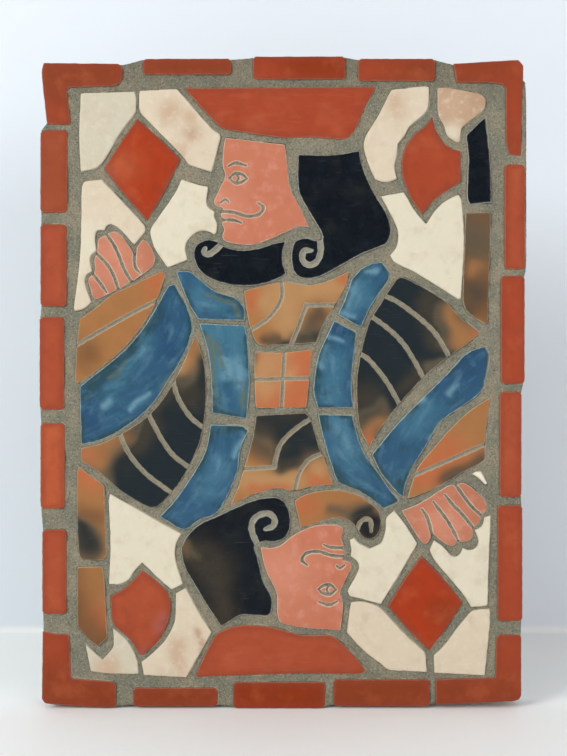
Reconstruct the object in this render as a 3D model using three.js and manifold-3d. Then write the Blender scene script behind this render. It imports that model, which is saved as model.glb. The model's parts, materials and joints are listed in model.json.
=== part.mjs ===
// Hand-made ceramic mosaic panel: a double-ended court-card figure in cut tiles, framed by
// terracotta bricks and set in a slab of sandy mortar.
//
// Millimetres. +X runs to the viewer's right, +Z up, and the tiles face -Y. The back of the
// mortar slab is the plane y = 0 and the origin is its centre.
import * as THREE from 'three';
import Module from 'manifold-3d';
import { mergeVertices } from 'three/addons/utils/BufferGeometryUtils.js';

// Over the border tiles.
const PANEL_WIDTH = 360.1;
const PANEL_HEIGHT = 483.2;

// Depths, measured forward from the back of the slab.
const PANEL_DEPTH = 25; // back to tile face
const POCKET_FLOOR = 14; // back to the seat of a tile
const GROUT_RECESS = 1.5; // joints lie this far below the tile faces
const SETTING_GAP = 0.3; // clearance around and under each separate tile
const EDGE_ROUND = 1.3; // worn edge of a tile face
const SLIVER_ROUND = 0.6; // the same on the smallest tile
const FUSED_ROOT = 3; // how far the small ground tiles reach into the mortar

// Across the face.
const BRICK_CORNER = 2; // clipped corner of a border brick
const SCORE_WIDTH = 2.6; // line scored into a tile and filled with grout
const SCORE_DEPTH = 1.3;
const CURL_WIDTH = 3.6; // wider line inside the hair and collar curls
const RUN_OUT = 2; // a scored line that reaches the edge goes on by this much
const ARC_TOLERANCE = 0.45; // largest error of a straight piece of a bulged side
const BORDER_OVERHANG = 4; // border pockets are open beyond the edge of the slab

// Finishes of the fired tiles and of the mortar.
const FINISHES = {
  mortar: { color: '#8b8674', roughness: 0.95 },
  terracotta: { color: '#a94f33', roughness: 0.7 },
  cream: { color: '#ded2ba', roughness: 0.55 },
  flesh: { color: '#cf8068', roughness: 0.6 },
  black: { color: '#1b2126', roughness: 0.35 },
  blue: { color: '#3d6487', roughness: 0.35 },
  ochre: { color: '#b07a4a', roughness: 0.55 },
};

// Border bricks: x from, x to, z from, z to.
const BORDER_BRICKS = {
  top_1: [-104, -38, 227.3, 239.4],
  top_2: [-22.5, 46.5, 223.7, 241],
  top_3: [55.5, 113, 222.5, 239.3],
  bottom_1: [-111, -48.2, -240.8, -226.8],
  bottom_2: [-37, 31.3, -242.2, -222.6],
  bottom_3: [37.2, 109, -240.6, -220.6],
  left_1: [-180, -159.6, 125, 186.5],
  left_2: [-180, -160.2, 55.5, 116.7],
  left_3: [-180.6, -162, -21, 48],
  left_4: [-180, -161.6, -94.4, -30.5],
  left_5: [-178.6, -160.3, -172.4, -109.5],
  right_1: [164, 179.5, 83, 161],
  right_2: [161.3, 179.3, -2, 78.5],
  right_3: [160.4, 177, -85.9, -7.5],
  right_4: [158.8, 177.6, -177.8, -91.5],
};

// Angle tiles of the four corners.
const BORDER_CORNERS = {
  corner_top_left: [[-177.5, 236.2], [-122, 235.6], [-119.6, 234], [-118.6, 230.5], [-118.7, 225.6],
    [-120.4, 221.6], [-123.6, 219.4], [-127.5, 218.8], [-158.5, 218], [-160, 215.5], [-157.2, 192], [-158.2, 190.3], [-175, 190.3], [-176.5, 203], [-179, 230]],
  corner_top_right: [[126, 235.5], [174.5, 238.6], [178.4, 234], [177.4, 200], [176.6, 167.1],
    [167.3, 168.1], [165.2, 178], [164.8, 217.5], [163, 219.6], [156.9, 221.1], [128.6, 221.4]],
  corner_bottom_left: [[-178.3, -184.8], [-169.5, -186.6], [-159.5, -187], [-158.2, -189], [-157, -218.6],
    [-155.5, -220], [-125.5, -222.4], [-123.6, -225], [-123.7, -241.6], [-137, -241.4], [-152, -240.4],
    [-172, -239.2], [-176.6, -238.2], [-178.8, -235.2]],
  corner_bottom_right: [[113, -220.5], [157.3, -219.3], [158, -190.5], [160, -187.4], [175.6, -187.5],
    [176.9, -189.5], [176.8, -233], [175, -235.9], [171, -237.1], [113, -239.4]],
};

// Edge of the mortar slab. Between two border tiles it is flush with their outer faces, so it lies
// a little inside the outer face of each. Beside the upper right tiles it stands proud of them.
const SLAB_EDGE = [[-176.8, 235.6], [-119, 235.2], [-104, 239], [-38, 239.1], [-22.5, 240.4],
  [46.5, 240.7], [55.5, 239], [113, 238.8], [127, 235.2], [172, 237.9], [176.6, 235.4], [178, 230],
  [177.8, 224.6], [180.2, 222], [180.9, 206], [180.9, 92], [180.4, 81.5], [179, 77], [179, 0],
  [176.8, -9], [176.8, -84], [177.3, -93], [177.3, -176], [176.6, -190], [176.5, -231],
  [174.6, -235.5], [170.6, -236.8], [113, -239.1], [109, -240.2], [37, -240.3], [31, -241.8],
  [-37, -241.9], [-48, -240.5], [-111, -240.5], [-123, -241.2], [-136, -241.1], [-172, -238.8],
  [-176.4, -237.8], [-178.4, -235], [-178, -185], [-178.3, -172], [-178.4, -110], [-179.7, -94],
  [-179.8, -31], [-180.3, -21], [-180.3, 48], [-179.7, 56], [-179.7, 186.2], [-175.4, 192],
  [-176.3, 203], [-178.6, 230]];
const PROUD_BESIDE = ['corner_top_right', 'right_1'];

// The outlines are drawn at the real size. On a panel of another width or height the border keeps
// its thickness and moves out or in, and the picture fills what it leaves.
const drawnSpan = (first, second) => {
  const all = Object.values(BORDER_BRICKS).flatMap((sides) => [sides[first], sides[second]]);
  return Math.max(...all) - Math.min(...all);
};
const GROWTH_X = (PANEL_WIDTH - drawnSpan(0, 1)) / 2;
const GROWTH_Z = (PANEL_HEIGHT - drawnSpan(2, 3)) / 2;
const FIELD_X = BORDER_BRICKS.right_4[0];
const FIELD_Z = -BORDER_BRICKS.bottom_3[3];
const onPanel = ([x, z, ...bulge]) => [
  x + GROWTH_X * THREE.MathUtils.clamp(x / FIELD_X, -1, 1),
  z + GROWTH_Z * THREE.MathUtils.clamp(z / FIELD_Z, -1, 1),
  ...bulge,
];

// Both faces look to -X under the brim of the hat.
const FACE = { front: -44, top: 181, height: 78, nose: 7.6, lip: 2.6, chin: 1.4 };

// The lower half of the card is the upper half turned end for end.
const TURN_X = -0.4;
const TURN_Z = -3.5;
const turned = ([x, z]) => [TURN_X - x, TURN_Z - z];

// Breast, throat, brim and crown, each as the level at which the outlines below are drawn and the
// way the real one lies above it. Tiles between them follow a longer face or a higher brim.
const ROWS = [[60, 0], [103, FACE.top - FACE.height - 103], [181, FACE.top - 181], [222, 0]];
const [, [DRAWN_THROAT], [DRAWN_BRIM]] = ROWS;

// Profile from the brim down to the throat. A third of the height each for forehead, nose, and
// lips with chin.
const onFace = (back, down) => [FACE.front + back, DRAWN_BRIM - down * (DRAWN_BRIM - DRAWN_THROAT)];
const FACE_PROFILE = [
  [1, 0], [-0.6, 0.14], [-0.8, 0.28], [1.4, 0.36], [-FACE.nose, 0.61], [-FACE.nose + 1.4, 0.65],
  [-0.4, 0.67], [-FACE.lip, 0.74], [-0.2, 0.78], [-FACE.lip + 0.8, 0.82], [0.6, 0.87],
  [-FACE.chin, 0.94], [0.4, 0.985], [5, 1.005],
].map(([out, down]) => onFace(out, down));

// Where the lines of a face are scored, as shares of the profile's own frame.
const FACE_LINES = [
  { path: [onFace(3.5, 0.275), onFace(9, 0.245), onFace(17, 0.27)] }, // brow
  { path: [onFace(4.2, 0.39), onFace(8.5, 0.345), onFace(14, 0.355), onFace(17.5, 0.395)] }, // upper lid
  { path: [onFace(4.2, 0.385), onFace(8, 0.43), onFace(13, 0.43), onFace(17.5, 0.392)] }, // lower lid
  { path: [onFace(9.6, 0.355), onFace(11.2, 0.388), onFace(9.4, 0.425)] }, // iris
  { path: [onFace(-2.2, 0.622), onFace(1.4, 0.592), onFace(4, 0.618)] }, // nostril
  { path: [onFace(-1, 0.705), onFace(8, 0.715), onFace(17, 0.75), onFace(26, 0.735),
    onFace(29.5, 0.67), onFace(25.5, 0.62)], open: 1 }, // moustache and its curl
  { path: [onFace(-0.5, 0.785), onFace(8, 0.79), onFace(13.5, 0.815)], open: 1 }, // mouth
];
const turnedLines = FACE_LINES.map((line) => ({ ...line, path: line.path.map(turned) }));

// Inner tiles. An outline lists corners [x, z]; a third number bulges the side that follows it
// outward, or inward when negative. Scored lines run over the face; open says whether none, the
// first or both ends reach the tile's edge. Fused tiles are one solid with the slab.
const TILES = {
  ground_top_left: { finish: 'cream', fused: true, outline: [[-150, 213.8], [-110.2, 215], [-108.6, 211],
    [-108.8, 199.5], [-120.5, 184], [-128.5, 170, 1], [-138.5, 158], [-150, 155.2], [-151.2, 183]] },
  diamond_upper: { finish: 'terracotta', outline: [[-108, 194.8, 0.7], [-75.8, 164.6, 0.8],
    [-100.4, 118.8, 0.8], [-132.8, 157.6, 0.7]] },
  ground_brim_left: { finish: 'cream', fused: true, outline: [[-106.5, 215.6], [-78.3, 216.9],
    [-51.5, 186.3], [-46.8, 183.8], [-46, 181], [-52.7, 155], [-70, 160.4], [-74.5, 167],
    [-105.5, 198.8], [-106.9, 204]] },
  ground_hand: { finish: 'cream', outline: [[-147.4, 148.4], [-134.3, 150], [-102, 115.3],
    [-101.7, 111.5], [-110.2, 101], [-120.5, 112.2], [-127.5, 116.7], [-131, 115], [-132, 111.8],
    [-137.6, 112], [-139.1, 105], [-138, 96.8], [-142.9, 92.3], [-141.3, 81.3], [-145.5, 79.3],
    [-146.7, 75], [-144.6, 66], [-141.5, 59], [-147.4, 53.8], [-154, 51.9], [-155.2, 54],
    [-150.6, 92.3], [-149.3, 145]] },
  hand_upper: { finish: 'flesh',
    outline: [[-144.6, 76], [-141, 62.8], [-138.8, 60.5], [-120.5, 69.2], [-104.4, 78.8], [-96.1, 85.9],
      [-94.5, 91], [-98.5, 101.3], [-103.8, 105.4], [-108, 100], [-109.6, 93.5], [-114, 100.5],
      [-120.5, 109], [-126.2, 111.2], [-131.6, 108.6], [-137.1, 105.6], [-137.6, 97], [-140, 90.5],
      [-139.3, 83.5], [-141.3, 79.6]],
    lines: [
      { path: [[-140.3, 79.5], [-135.5, 73], [-130.7, 66]], open: 1 },
      { path: [[-138, 94.6], [-130.7, 87.2], [-125.6, 78.8], [-122.4, 69.2]], open: 2 },
      { path: [[-130.7, 109], [-124.3, 99.4], [-117, 82], [-112.2, 74.2]], open: 2 },
      { path: [[-109.8, 95.5], [-109.6, 85.9], [-105.7, 80]], open: 1 },
    ] },
  ground_face: { finish: 'cream', outline: [[-75.3, 150], [-61.8, 145.7], [-55.2, 144.6], [-56.6, 133],
    [-55.2, 129], [-50.4, 126], [-51, 121.5], [-48.6, 118], [-49.3, 110], [-51.5, 108.6],
    [-53.8, 110.5], [-59.2, 111.9], [-64.4, 110.3], [-70.1, 105.1], [-72.4, 98.7], [-70.4, 90.1],
    [-85.5, 84.3], [-95.5, 99.4], [-98.7, 111.5], [-97.4, 114.7], [-79.7, 140.4]] },
  hat_upper: { finish: 'terracotta', outline: [[-73.3, 217.2], [69.8, 218.8], [60.8, 202.8, 0.8],
    [50.4, 181.8], [45.1, 179.2, -0.9], [0, 180.5], [-31, 184.8], [-45.5, 187.4, 0.6]] },
  face_upper: { finish: 'flesh', outline: [...FACE_PROFILE, [-22, 101.2], [3.8, 111.4], [9.8, 114.6],
    [19.4, 114.4], [12.8, 129], [5.8, 142.5], [3.4, 160], [1.6, 175.6]], lines: FACE_LINES },
  collar_upper: { finish: 'black',
    outline: [[2.4, 104.2], [-6.7, 102.6], [-16.3, 99.4], [-29.1, 97.5], [-39.5, 98.9], [-43.5, 100.2],
      [-48, 103.6], [-53, 105.4], [-58.5, 104.8], [-64.4, 101.3], [-66.4, 95.5], [-65.6, 89.1],
      [-62.4, 82.7], [-55.4, 76.9], [-45.1, 72.8], [-29.1, 70.6], [-14.4, 72.2], [-4.7, 75.6],
      [2.9, 79.6], [0.2, 88], [0.3, 97]],
    lines: [{ path: [[-45.8, 101.6], [-50, 97.3], [-55.2, 94.2], [-58.6, 95.6], [-57.6, 98.6]],
      open: 1, width: CURL_WIDTH }] },
  hair_upper: { finish: 'black',
    outline: [[10.8, 168.4], [39.2, 168.4], [56.9, 171.4], [58.9, 160.2], [66.7, 141.7], [77.6, 123.1],
      [80.4, 111.5], [76.9, 101.9], [59.6, 94.9], [38.5, 83.3], [28.8, 78.2], [22, 76.4], [15.8, 76.2],
      [11.2, 77.6], [8, 81], [6.5, 86], [6, 93.2], [6.8, 100], [9.2, 104.4], [13, 106], [18.6, 106.4], [24.5, 104.6], [29.6, 106.4],
      [27.4, 112], [19.2, 125.6], [11.5, 141]],
    lines: [{ path: [[27.2, 105], [28, 97], [25.2, 89], [19.5, 86.2], [14.6, 90], [15.6, 96.6], [21.2, 97]],
      open: 1, width: CURL_WIDTH }] },
  ground_brim_right: { finish: 'cream', fused: true, outline: [[80.1, 216.2], [104.6, 219.1],
    [108.5, 218.4], [108.2, 205.4], [106, 199.4], [93.5, 188.4, 1], [85, 175.9, 0.8], [82.7, 160],
    [84.7, 149.8], [75.2, 147.5], [68.3, 149.5], [62.8, 162.2], [59.7, 174], [60.8, 181], [70, 196.2]] },
  ground_top_right: { finish: 'cream', fused: true, outline: [[114.4, 217.8], [121, 218], [147.8, 212.6],
    [150.6, 209.4], [149.6, 202], [132.4, 187.7], [131.4, 178], [129, 176.6], [121.6, 181.8, -0.8],
    [115, 197.5]] },
  petal_upper: { finish: 'terracotta', outline: [[110.8, 196.9, -3], [123.5, 173.2], [131.8, 171],
    [131.8, 147.8], [115, 136.8, -0.6], [103.3, 123.8], [97.5, 131.2], [91.8, 142.2], [87.9, 156],
    [89.2, 169.8], [95.5, 181.2], [106.2, 190.4]] },
  ground_petal: { finish: 'cream', outline: [[72.4, 137.5], [90, 140.5], [97.5, 127.3], [106.2, 116.7],
    [112.4, 126.4], [121, 134.3], [130.5, 138.8], [132.4, 135], [134.4, 105], [132.1, 62.2],
    [130, 60.5], [119.6, 67.3], [96.5, 81.4], [81.8, 88.7], [79.2, 93.6], [84, 99.4], [85.3, 110.3],
    [83.2, 117]] },
  bar_upper_top: { finish: 'black', outline: [[150.2, 196.9], [154, 160], [154.6, 132.6],
    [138.4, 130.8], [136, 135.3], [137, 166.8], [135.2, 182.5]] },
  bar_upper_low: { finish: 'ochre', outline: [[135, 125], [154.2, 125.6], [153, 79.5], [151.8, 43],
    [148.5, 42.8], [136.3, 51.5], [133.1, 58.6]] },
  cuff_left: { finish: 'ochre',
    outline: [[-89.7, 82.1], [-86.9, 79], [-94.3, 58, 0], [-105.7, 39.4], [-121.1, 21.4], [-141, 6],
      [-152, -1.6], [-154.3, 0], [-153, 27.2], [-150.9, 46.4], [-139.1, 54.7], [-126.9, 64.7],
      [-112.8, 71.2]],
    lines: [{ path: [[-152.8, 27], [-130.7, 40], [-110, 51.5], [-95, 59.2]], open: 2 }] },
  band_left: { finish: 'blue', outline: [[-80.1, 72.4], [-85, 71.3], [-99.3, 46.4, -0.6],
    [-114.1, 27.2, -0.6], [-134.6, 9.2], [-150.8, -3.5], [-149.8, -46.9], [-136, -43.8],
    [-121.5, -37], [-99.4, -20], [-83.6, 2.2], [-70.8, 25.3], [-66.6, 40], [-70.1, 53.5]] },
  yoke_left: { finish: 'blue', outline: [[-79.4, 80.8], [-77.8, 81.8], [-68.8, 81.7], [-61, 75.5],
    [-50.3, 67.3], [-35, 61.8], [-28.5, 54.7], [-28, 44.8], [-62.8, 45.9], [-68.8, 55.4],
    [-77.8, 76.9]] },
  lapel_left_top: { finish: 'blue', outline: [[-62.4, 43.3], [-27.8, 41.6], [-25.6, 26.5],
    [-24.6, -5.5], [-26.9, -27.9], [-52.8, -23.5], [-53.8, 7.3], [-57.4, 28.5]] },
  lapel_left_low: { finish: 'blue', outline: [[-53.6, -31.6], [-29.4, -33], [-25.6, -36.5],
    [-30.6, -48, -0.5], [-32.9, -64], [-38.5, -79.5], [-45.5, -93], [-50.3, -98.9], [-62, -102.8],
    [-70.5, -109.3], [-75.3, -109.8], [-91.7, -100], [-82, -90], [-68, -70.2], [-57.9, -52]] },
  sleeve_left: { finish: 'ochre',
    outline: [[-65.1, 34.8], [-58.5, 15.6], [-56.6, -4], [-57.9, -28], [-62.4, -47.9], [-70.8, -65.9],
      [-80.5, -80.5], [-91, -91.5], [-96.5, -93.9], [-102, -92.3], [-121.1, -80.6], [-137.1, -66.9],
      [-150.1, -58.7], [-150, -49.2], [-135.5, -45.9], [-119.5, -38.2], [-102.1, -26.6],
      [-90, -13.8], [-76.5, 9]],
    lines: [
      { path: [[-81, -1], [-78.5, -10], [-73.3, -19.6], [-66.9, -27.9], [-58.3, -34.3]], open: 2 },
      { path: [[-99.4, -25], [-92.3, -38.3], [-82.5, -53.2], [-69.8, -63.5]], open: 2 },
      { path: [[-120.8, -39], [-114.1, -53.1], [-101.9, -67.8], [-82.2, -82.8]], open: 2 },
    ] },
  chest_upper: { finish: 'ochre',
    outline: [[-29.1, 67.3], [0, 74], [19.2, 71.5], [38.5, 76.9], [49.3, 82.3], [47.4, 73], [41, 60],
      [30.8, 43.8], [25, 28.5], [-16.3, 26.5], [-20.5, 29.5], [-25.9, 45.8]],
    lines: [
      { path: [[-1.2, 73.2], [-1.2, 61.2], [-9.9, 47.7], [-22.8, 38.6]], open: 2 },
      { path: [[6.4, 27.8], [10.9, 39.4], [17.3, 56], [39.5, 57]], open: 2 },
    ] },
  chest_squares: { finish: 'ochre',
    outline: [[-21.1, 22.1], [-1.2, 21.7], [21.9, 24], [19.9, 4.1], [17.6, -19.6], [-20.4, -19.9],
      [-21.4, 7.3]],
    lines: [
      { path: [[1, 21.5], [-1, -19.5]], open: 2 },
      { path: [[-20.8, 1.5], [19.4, 2.5]], open: 2 },
    ] },
  chest_lower: { finish: 'ochre',
    outline: [[-20.2, -25], [16.7, -22.8], [20.5, -27], [27.9, -51], [30.7, -56.5], [37.6, -77.1],
      [26, -77], [11, -80.6], [4, -81], [-3, -79.2], [-19.5, -82.9], [-31, -88.3], [-39.4, -92.2],
      [-33.6, -78.7], [-28.6, -62.5], [-22.7, -41.5]],
    lines: [
      { path: [[19.8, -28.2], [10, -34.6], [-1, -45.4], [-5, -56], [-6.3, -63], [-29, -64.8]], open: 2 },
      { path: [[28.2, -53.7], [19.2, -58.2], [12.2, -67.8], [8.6, -80]], open: 2 },
    ] },
  lapel_right_top: { finish: 'blue', outline: [[73.4, 88.8], [79.3, 80.3], [78.8, 75.6], [64.7, 54.7],
    [58.3, 40.3], [55.1, 41.3], [40.4, 49.6], [44.9, 59.2], [50.5, 75.5], [57.5, 83.7], [66, 87.8]] },
  lapel_right_mid: { finish: 'blue', outline: [[37.8, 45.4], [54.8, 36.4], [51.9, 10.5], [51, -4],
    [52.5, -19.8], [25.6, -19.9], [22.4, -9], [22.8, 1], [26.3, 20.1], [31, 31]] },
  lapel_right_low: { finish: 'blue', outline: [[25.8, -24], [51.7, -24.9], [54.5, -36.4],
    [60.2, -52.5], [69.9, -65.9], [78.2, -78.1], [86, -88], [84.6, -89.8], [74.6, -94.5],
    [66.7, -88.3], [57.1, -81.9], [40.6, -74.9], [35.3, -60.8], [28.8, -38.3]] },
  sleeve_right: { finish: 'ochre',
    outline: [[84.6, 76.9], [88, 77.9], [104, 70], [120.9, 59.2], [132, 47.5], [146.3, 36.2],
      [140, 30.4], [120.3, 16.3], [103.6, 2.2], [83, -21], [70, -38.5], [64, -48.7], [60.3, -42.5],
      [55.9, -31.2], [54.3, 0.9], [57.1, 20.1], [63.5, 43.8], [69.2, 53.5]],
    lines: [
      { path: [[76.5, 62.8], [85, 58.9], [100, 47.8], [110.6, 38.1], [117.1, 29.1], [122.6, 19.2]], open: 2 },
      { path: [[67, 47.1], [76.9, 40], [87.5, 30], [95.9, 17.6], [103.6, 3.8]], open: 2 },
      { path: [[57.5, 20], [64.1, 15.6], [76.9, -0.4], [86.5, -17]], open: 2 },
    ] },
  band_right: { finish: 'blue', outline: [[150.1, 26.5], [153, 19.5], [149.1, -2.9], [145.6, -9.4],
    [117.8, -29, -0.8], [108, -45], [95.5, -64.6], [90.4, -78.7], [89.6, -86], [86, -84],
    [72.4, -67.8], [65.6, -54], [85, -30.8], [101.7, -13.8], [120.3, 4.7], [137, 21.8]] },
  cuff_right: { finish: 'ochre',
    outline: [[154.1, -11.2], [150.4, -38.3], [149.8, -57.8], [146, -60.7], [135, -66.5],
      [117.1, -76.8], [97.8, -85.4], [91.8, -86.8], [94.6, -77.5], [100.1, -63.3], [110.5, -50.3],
      [122.8, -36.2], [137, -22.5]],
    lines: [{ path: [[98.6, -68.4], [117.1, -60.8], [132, -54.2], [149.8, -46.7]], open: 2 }] },
  bar_lower_top: { finish: 'ochre', outline: [[-151.2, -63], [-132, -77.3], [-131.8, -94],
    [-130.6, -129], [-133, -132.5], [-148.5, -132.7], [-151.2, -129.5], [-152.8, -105],
    [-152.9, -66]] },
  bar_lower_low: { finish: 'ochre', outline: [[-152.6, -137.4], [-134.2, -137], [-132.5, -142],
    [-131, -170], [-130, -190], [-136, -195.6], [-139.5, -195], [-152.5, -181.5]] },
  ground_petal_low: { finish: 'cream', outline: [[-128.3, -82.9], [-100, -98.9], [-90, -104.7],
    [-75, -112.8], [-78, -117.5], [-80, -127], [-78.3, -136.5], [-73.9, -150.1], [-82.7, -154.4],
    [-92, -146.3], [-104.2, -134.4, -0.8], [-114, -147], [-120.5, -150.2], [-129.2, -150.4],
    [-128, -120], [-129.3, -88]] },
  petal_lower: { finish: 'terracotta', outline: [[-104, -139.6], [-92.8, -148.3], [-85.3, -156.3],
    [-83, -166.5], [-85.3, -179, 0.8], [-93.5, -194], [-103.6, -203], [-106.3, -202.7],
    [-112, -192.8], [-126.1, -179.8], [-128.3, -159.5], [-116.5, -152.2]] },
  ground_foot_left: { finish: 'cream', fused: true, outline: [[-146.6, -194], [-133.6, -206],
    [-125.8, -196.7], [-126.1, -182.4], [-114.5, -192.9], [-108.1, -206], [-106.6, -217],
    [-129.5, -216.4], [-142.5, -214.8]] },
  ground_brim_low: { finish: 'cream', outline: [[-79.5, -157], [-72, -152.8], [-60, -174.5],
    [-52.6, -185.6], [-60, -199.3], [-71.6, -219.4], [-103.2, -217.7], [-105.1, -207.7],
    [-99.5, -203.8], [-87.5, -191.8, -0.6], [-80.3, -177.5]] },
  hair_lower: { finish: 'black',
    outline: [[-10.5, -85.6], [-4.1, -85.8], [1.5, -89.3], [5.3, -98], [5.6, -108.2], [1.8, -115.8],
      [-5.4, -118.9], [-14.5, -118.6], [-21.2, -122.5], [-18, -132.5], [-14.5, -147.5],
      [-8, -160.5], [-8.4, -170.5], [-10.5, -173.6], [-30.8, -173], [-39, -177.5], [-45.8, -181.6],
      [-54.8, -168.5], [-65.3, -151.3], [-73.5, -136.3], [-75.7, -124], [-71.4, -114.6],
      [-62, -105.6], [-49, -99.6], [-34.9, -93.1], [-21.4, -87.7]],
    lines: [{ path: [[-19.4, -120], [-22.6, -112], [-23, -105.4], [-19.6, -100.2], [-12, -97.6],
      [-6.6, -100.8], [-7, -106.6], [-13, -109.4]], open: 1, width: CURL_WIDTH }] },
  hat_lower: { finish: 'terracotta', outline: [[-65, -219], [-61.5, -209.8], [-54.8, -196.3],
    [-49.5, -187.3], [-39, -182], [-27, -180.3], [-12.8, -181.1], [0, -183.9], [12, -187.5],
    [36, -188], [45, -195.1], [56.3, -206.8], [61.5, -214], [58.8, -216.7], [10, -216.4],
    [-20, -217.6]] },
  face_lower: { finish: 'flesh', outline: [...FACE_PROFILE.map(turned), [27, -106], [17, -109],
    [5, -115.6], [-0.5, -120.5], [-8, -123.2], [-16.5, -122.6], [-15.6, -129.5], [-12, -142],
    [-5, -156.5], [-4.4, -172], [-2, -178.8], [14, -182.4]], lines: turnedLines },
  collar_lower: { finish: 'ochre',
    outline: [[8.3, -88.3], [16, -83.8], [30.1, -80.6], [40, -80.4], [53.2, -83.2], [64.7, -89.6],
      [71.2, -95.4], [73, -106.3], [69.4, -115.1], [65, -116.9], [59.6, -116], [56.4, -112.2],
      [51.6, -105.4], [44.2, -101.4], [34.5, -101.6], [22.4, -106], [12.8, -108.2], [10.6, -98]],
    lines: [{ path: [[54.8, -110.6], [56.6, -105.4], [60.4, -102], [64.8, -103], [65.4, -111.4]],
      open: 1, width: CURL_WIDTH * 0.8 }] },
  ground_face_low: { finish: 'cream', outline: [[52.8, -115.6], [56.2, -119.4], [64.1, -123.7],
    [72.4, -119.9], [76, -110.1], [76.3, -101.2], [82.4, -95.4], [89.7, -104.4], [99.8, -120.2],
    [90, -137], [79.5, -154.3], [72.8, -165.2], [60, -161.8], [49.4, -159.2], [47.6, -155.5],
    [55.6, -140.5], [56.2, -136], [54.4, -132.6], [50, -129.6], [50.6, -125], [49.2, -117.2]] },
  diamond_lower: { finish: 'terracotta', outline: [[102.6, -129.2, 1], [133.4, -163.6, 1],
    [108.3, -199.7, 0.8], [77.6, -166.5, 1]] },
  ground_hand_low: { finish: 'cream', outline: [[112, -117.3], [108.4, -124.9], [112.8, -133.3],
    [125.5, -148.3], [135.3, -160.3], [139.4, -167.4], [151.8, -166.4], [152.5, -140],
    [154.1, -99], [149.1, -100.5], [147.5, -107.2], [141.8, -110], [144.9, -117.8],
    [143.3, -122.8], [138.2, -124.9], [133, -123], [131, -128.2], [126, -129.9], [119.6, -123]] },
  ground_brim_low_right: { finish: 'cream', fused: true, outline: [[50.4, -163.4], [58.5, -162.9],
    [71.3, -167], [79.5, -175.3], [92.3, -188.8], [105.3, -200.6], [106.8, -215.4], [78, -213.8],
    [72, -209], [58.5, -198.5], [47.3, -186.1], [48.8, -173]] },
  ground_foot_right: { finish: 'cream', fused: true, outline: [[140.5, -169.5], [153.3, -168.2],
    [153.6, -177.5], [149.7, -218], [112, -216.1], [111.6, -203], [119.5, -195.5], [130, -181.3]] },
  hand_lower: { finish: 'flesh',
    outline: [[87.7, -95.6], [99.7, -90.9], [113.8, -82.2], [123.5, -76.4], [127.4, -76.6],
      [134.4, -74.9], [144.6, -82.6], [150.7, -89.6], [150.8, -94.4], [148.3, -98.2],
      [146.3, -99.4], [146.4, -103.2], [142.5, -107.3], [140.6, -109], [141, -113], [138.4, -117.8],
      [132.6, -118.8], [129, -117.8], [127.8, -121.4], [124.4, -122.4], [115.8, -117.2],
      [111, -112.6], [109, -117.5], [105.4, -120.8], [102.4, -118.8], [96.5, -110.1]],
    lines: [
      { path: [[128.4, -77], [135.2, -86.8], [140.6, -93.5], [146.2, -98.6]], open: 2 },
      { path: [[119.9, -83.8], [126, -91.5], [132.4, -98], [139.9, -107]], open: 3 },
      { path: [[111.3, -89], [117.1, -96.7], [122.8, -104.4], [129, -116]], open: 3 },
      { path: [[102.8, -94.4], [106.4, -99.8], [108.6, -106], [110.2, -112.4]], open: 3 },
    ] },
  ground_sliver: { finish: 'cream', fused: true, edge: SLIVER_ROUND, outline: [[140.1, -68.5], [143, -66.7], [146.8, -66.5],
    [149.7, -71.7], [151.8, -76], [149.7, -76.5], [144, -71]] },
};

const wasm = await Module();
wasm.setup();

// Signed area of a loop in the (x, z) plane; positive when it runs anticlockwise seen from the front.
function signedArea(loop) {
  return loop.reduce((sum, [x, z], i) => {
    const [x2, z2] = loop[(i + 1) % loop.length];
    return sum + (x * z2 - x2 * z) / 2;
  }, 0);
}

// Moves a point of an outline with the row of the figure it lies in.
function withFace([x, z, ...bulge]) {
  const lower = z < TURN_Z / 2;
  const level = lower ? TURN_Z - z : z;
  const k = ROWS.findIndex(([row]) => level < row);
  if (k < 1) return [x, z, ...bulge];
  const [[from, first], [to, last]] = [ROWS[k - 1], ROWS[k]];
  const shift = first + ((last - first) * (level - from)) / (to - from);
  return [x, lower ? z - shift : z + shift, ...bulge];
}

// Turns a corner list into an anticlockwise loop, with each bulged side split into short chords.
function loopOf(corners) {
  const list = signedArea(corners) > 0 ? corners : reversed(corners);
  const loop = [];
  list.forEach(([x, z, bulge = 0], i) => {
    const [x2, z2] = list[(i + 1) % list.length];
    const steps = Math.max(1, Math.ceil(Math.sqrt(Math.abs(bulge) / ARC_TOLERANCE)));
    const length = Math.hypot(x2 - x, z2 - z);
    for (let k = 0; k < steps; k++) {
      const t = k / steps;
      const lift = (4 * bulge * t * (1 - t)) / length;
      loop.push([x + (x2 - x) * t + (z2 - z) * lift, z + (z2 - z) * t - (x2 - x) * lift]);
    }
  });
  return loop;
}

// Reverses a corner list and keeps each bulge with its own side.
function reversed(corners) {
  const n = corners.length;
  return corners.map((_, i) => {
    const [x, z] = corners[(n - i) % n];
    return [x, z, corners[(2 * n - i - 1) % n][2] ?? 0];
  });
}

// Moves every side of a loop inward by a distance; sharp corners are held back to twice that.
function inset(loop, distance) {
  const n = loop.length;
  return loop.map(([x, z], i) => {
    const normals = [[(i + n - 1) % n, i], [i, (i + 1) % n]].map(([a, b]) => {
      const dx = loop[b][0] - loop[a][0];
      const dz = loop[b][1] - loop[a][1];
      const length = Math.hypot(dx, dz);
      return [-dz / length, dx / length];
    });
    const sum = [normals[0][0] + normals[1][0], normals[0][1] + normals[1][1]];
    const scale = Math.min(1 / (1 + normals[0][0] * normals[1][0] + normals[0][1] * normals[1][1]),
      2 / Math.hypot(...sum));
    return [x + sum[0] * distance * scale, z + sum[1] * distance * scale];
  });
}

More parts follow.
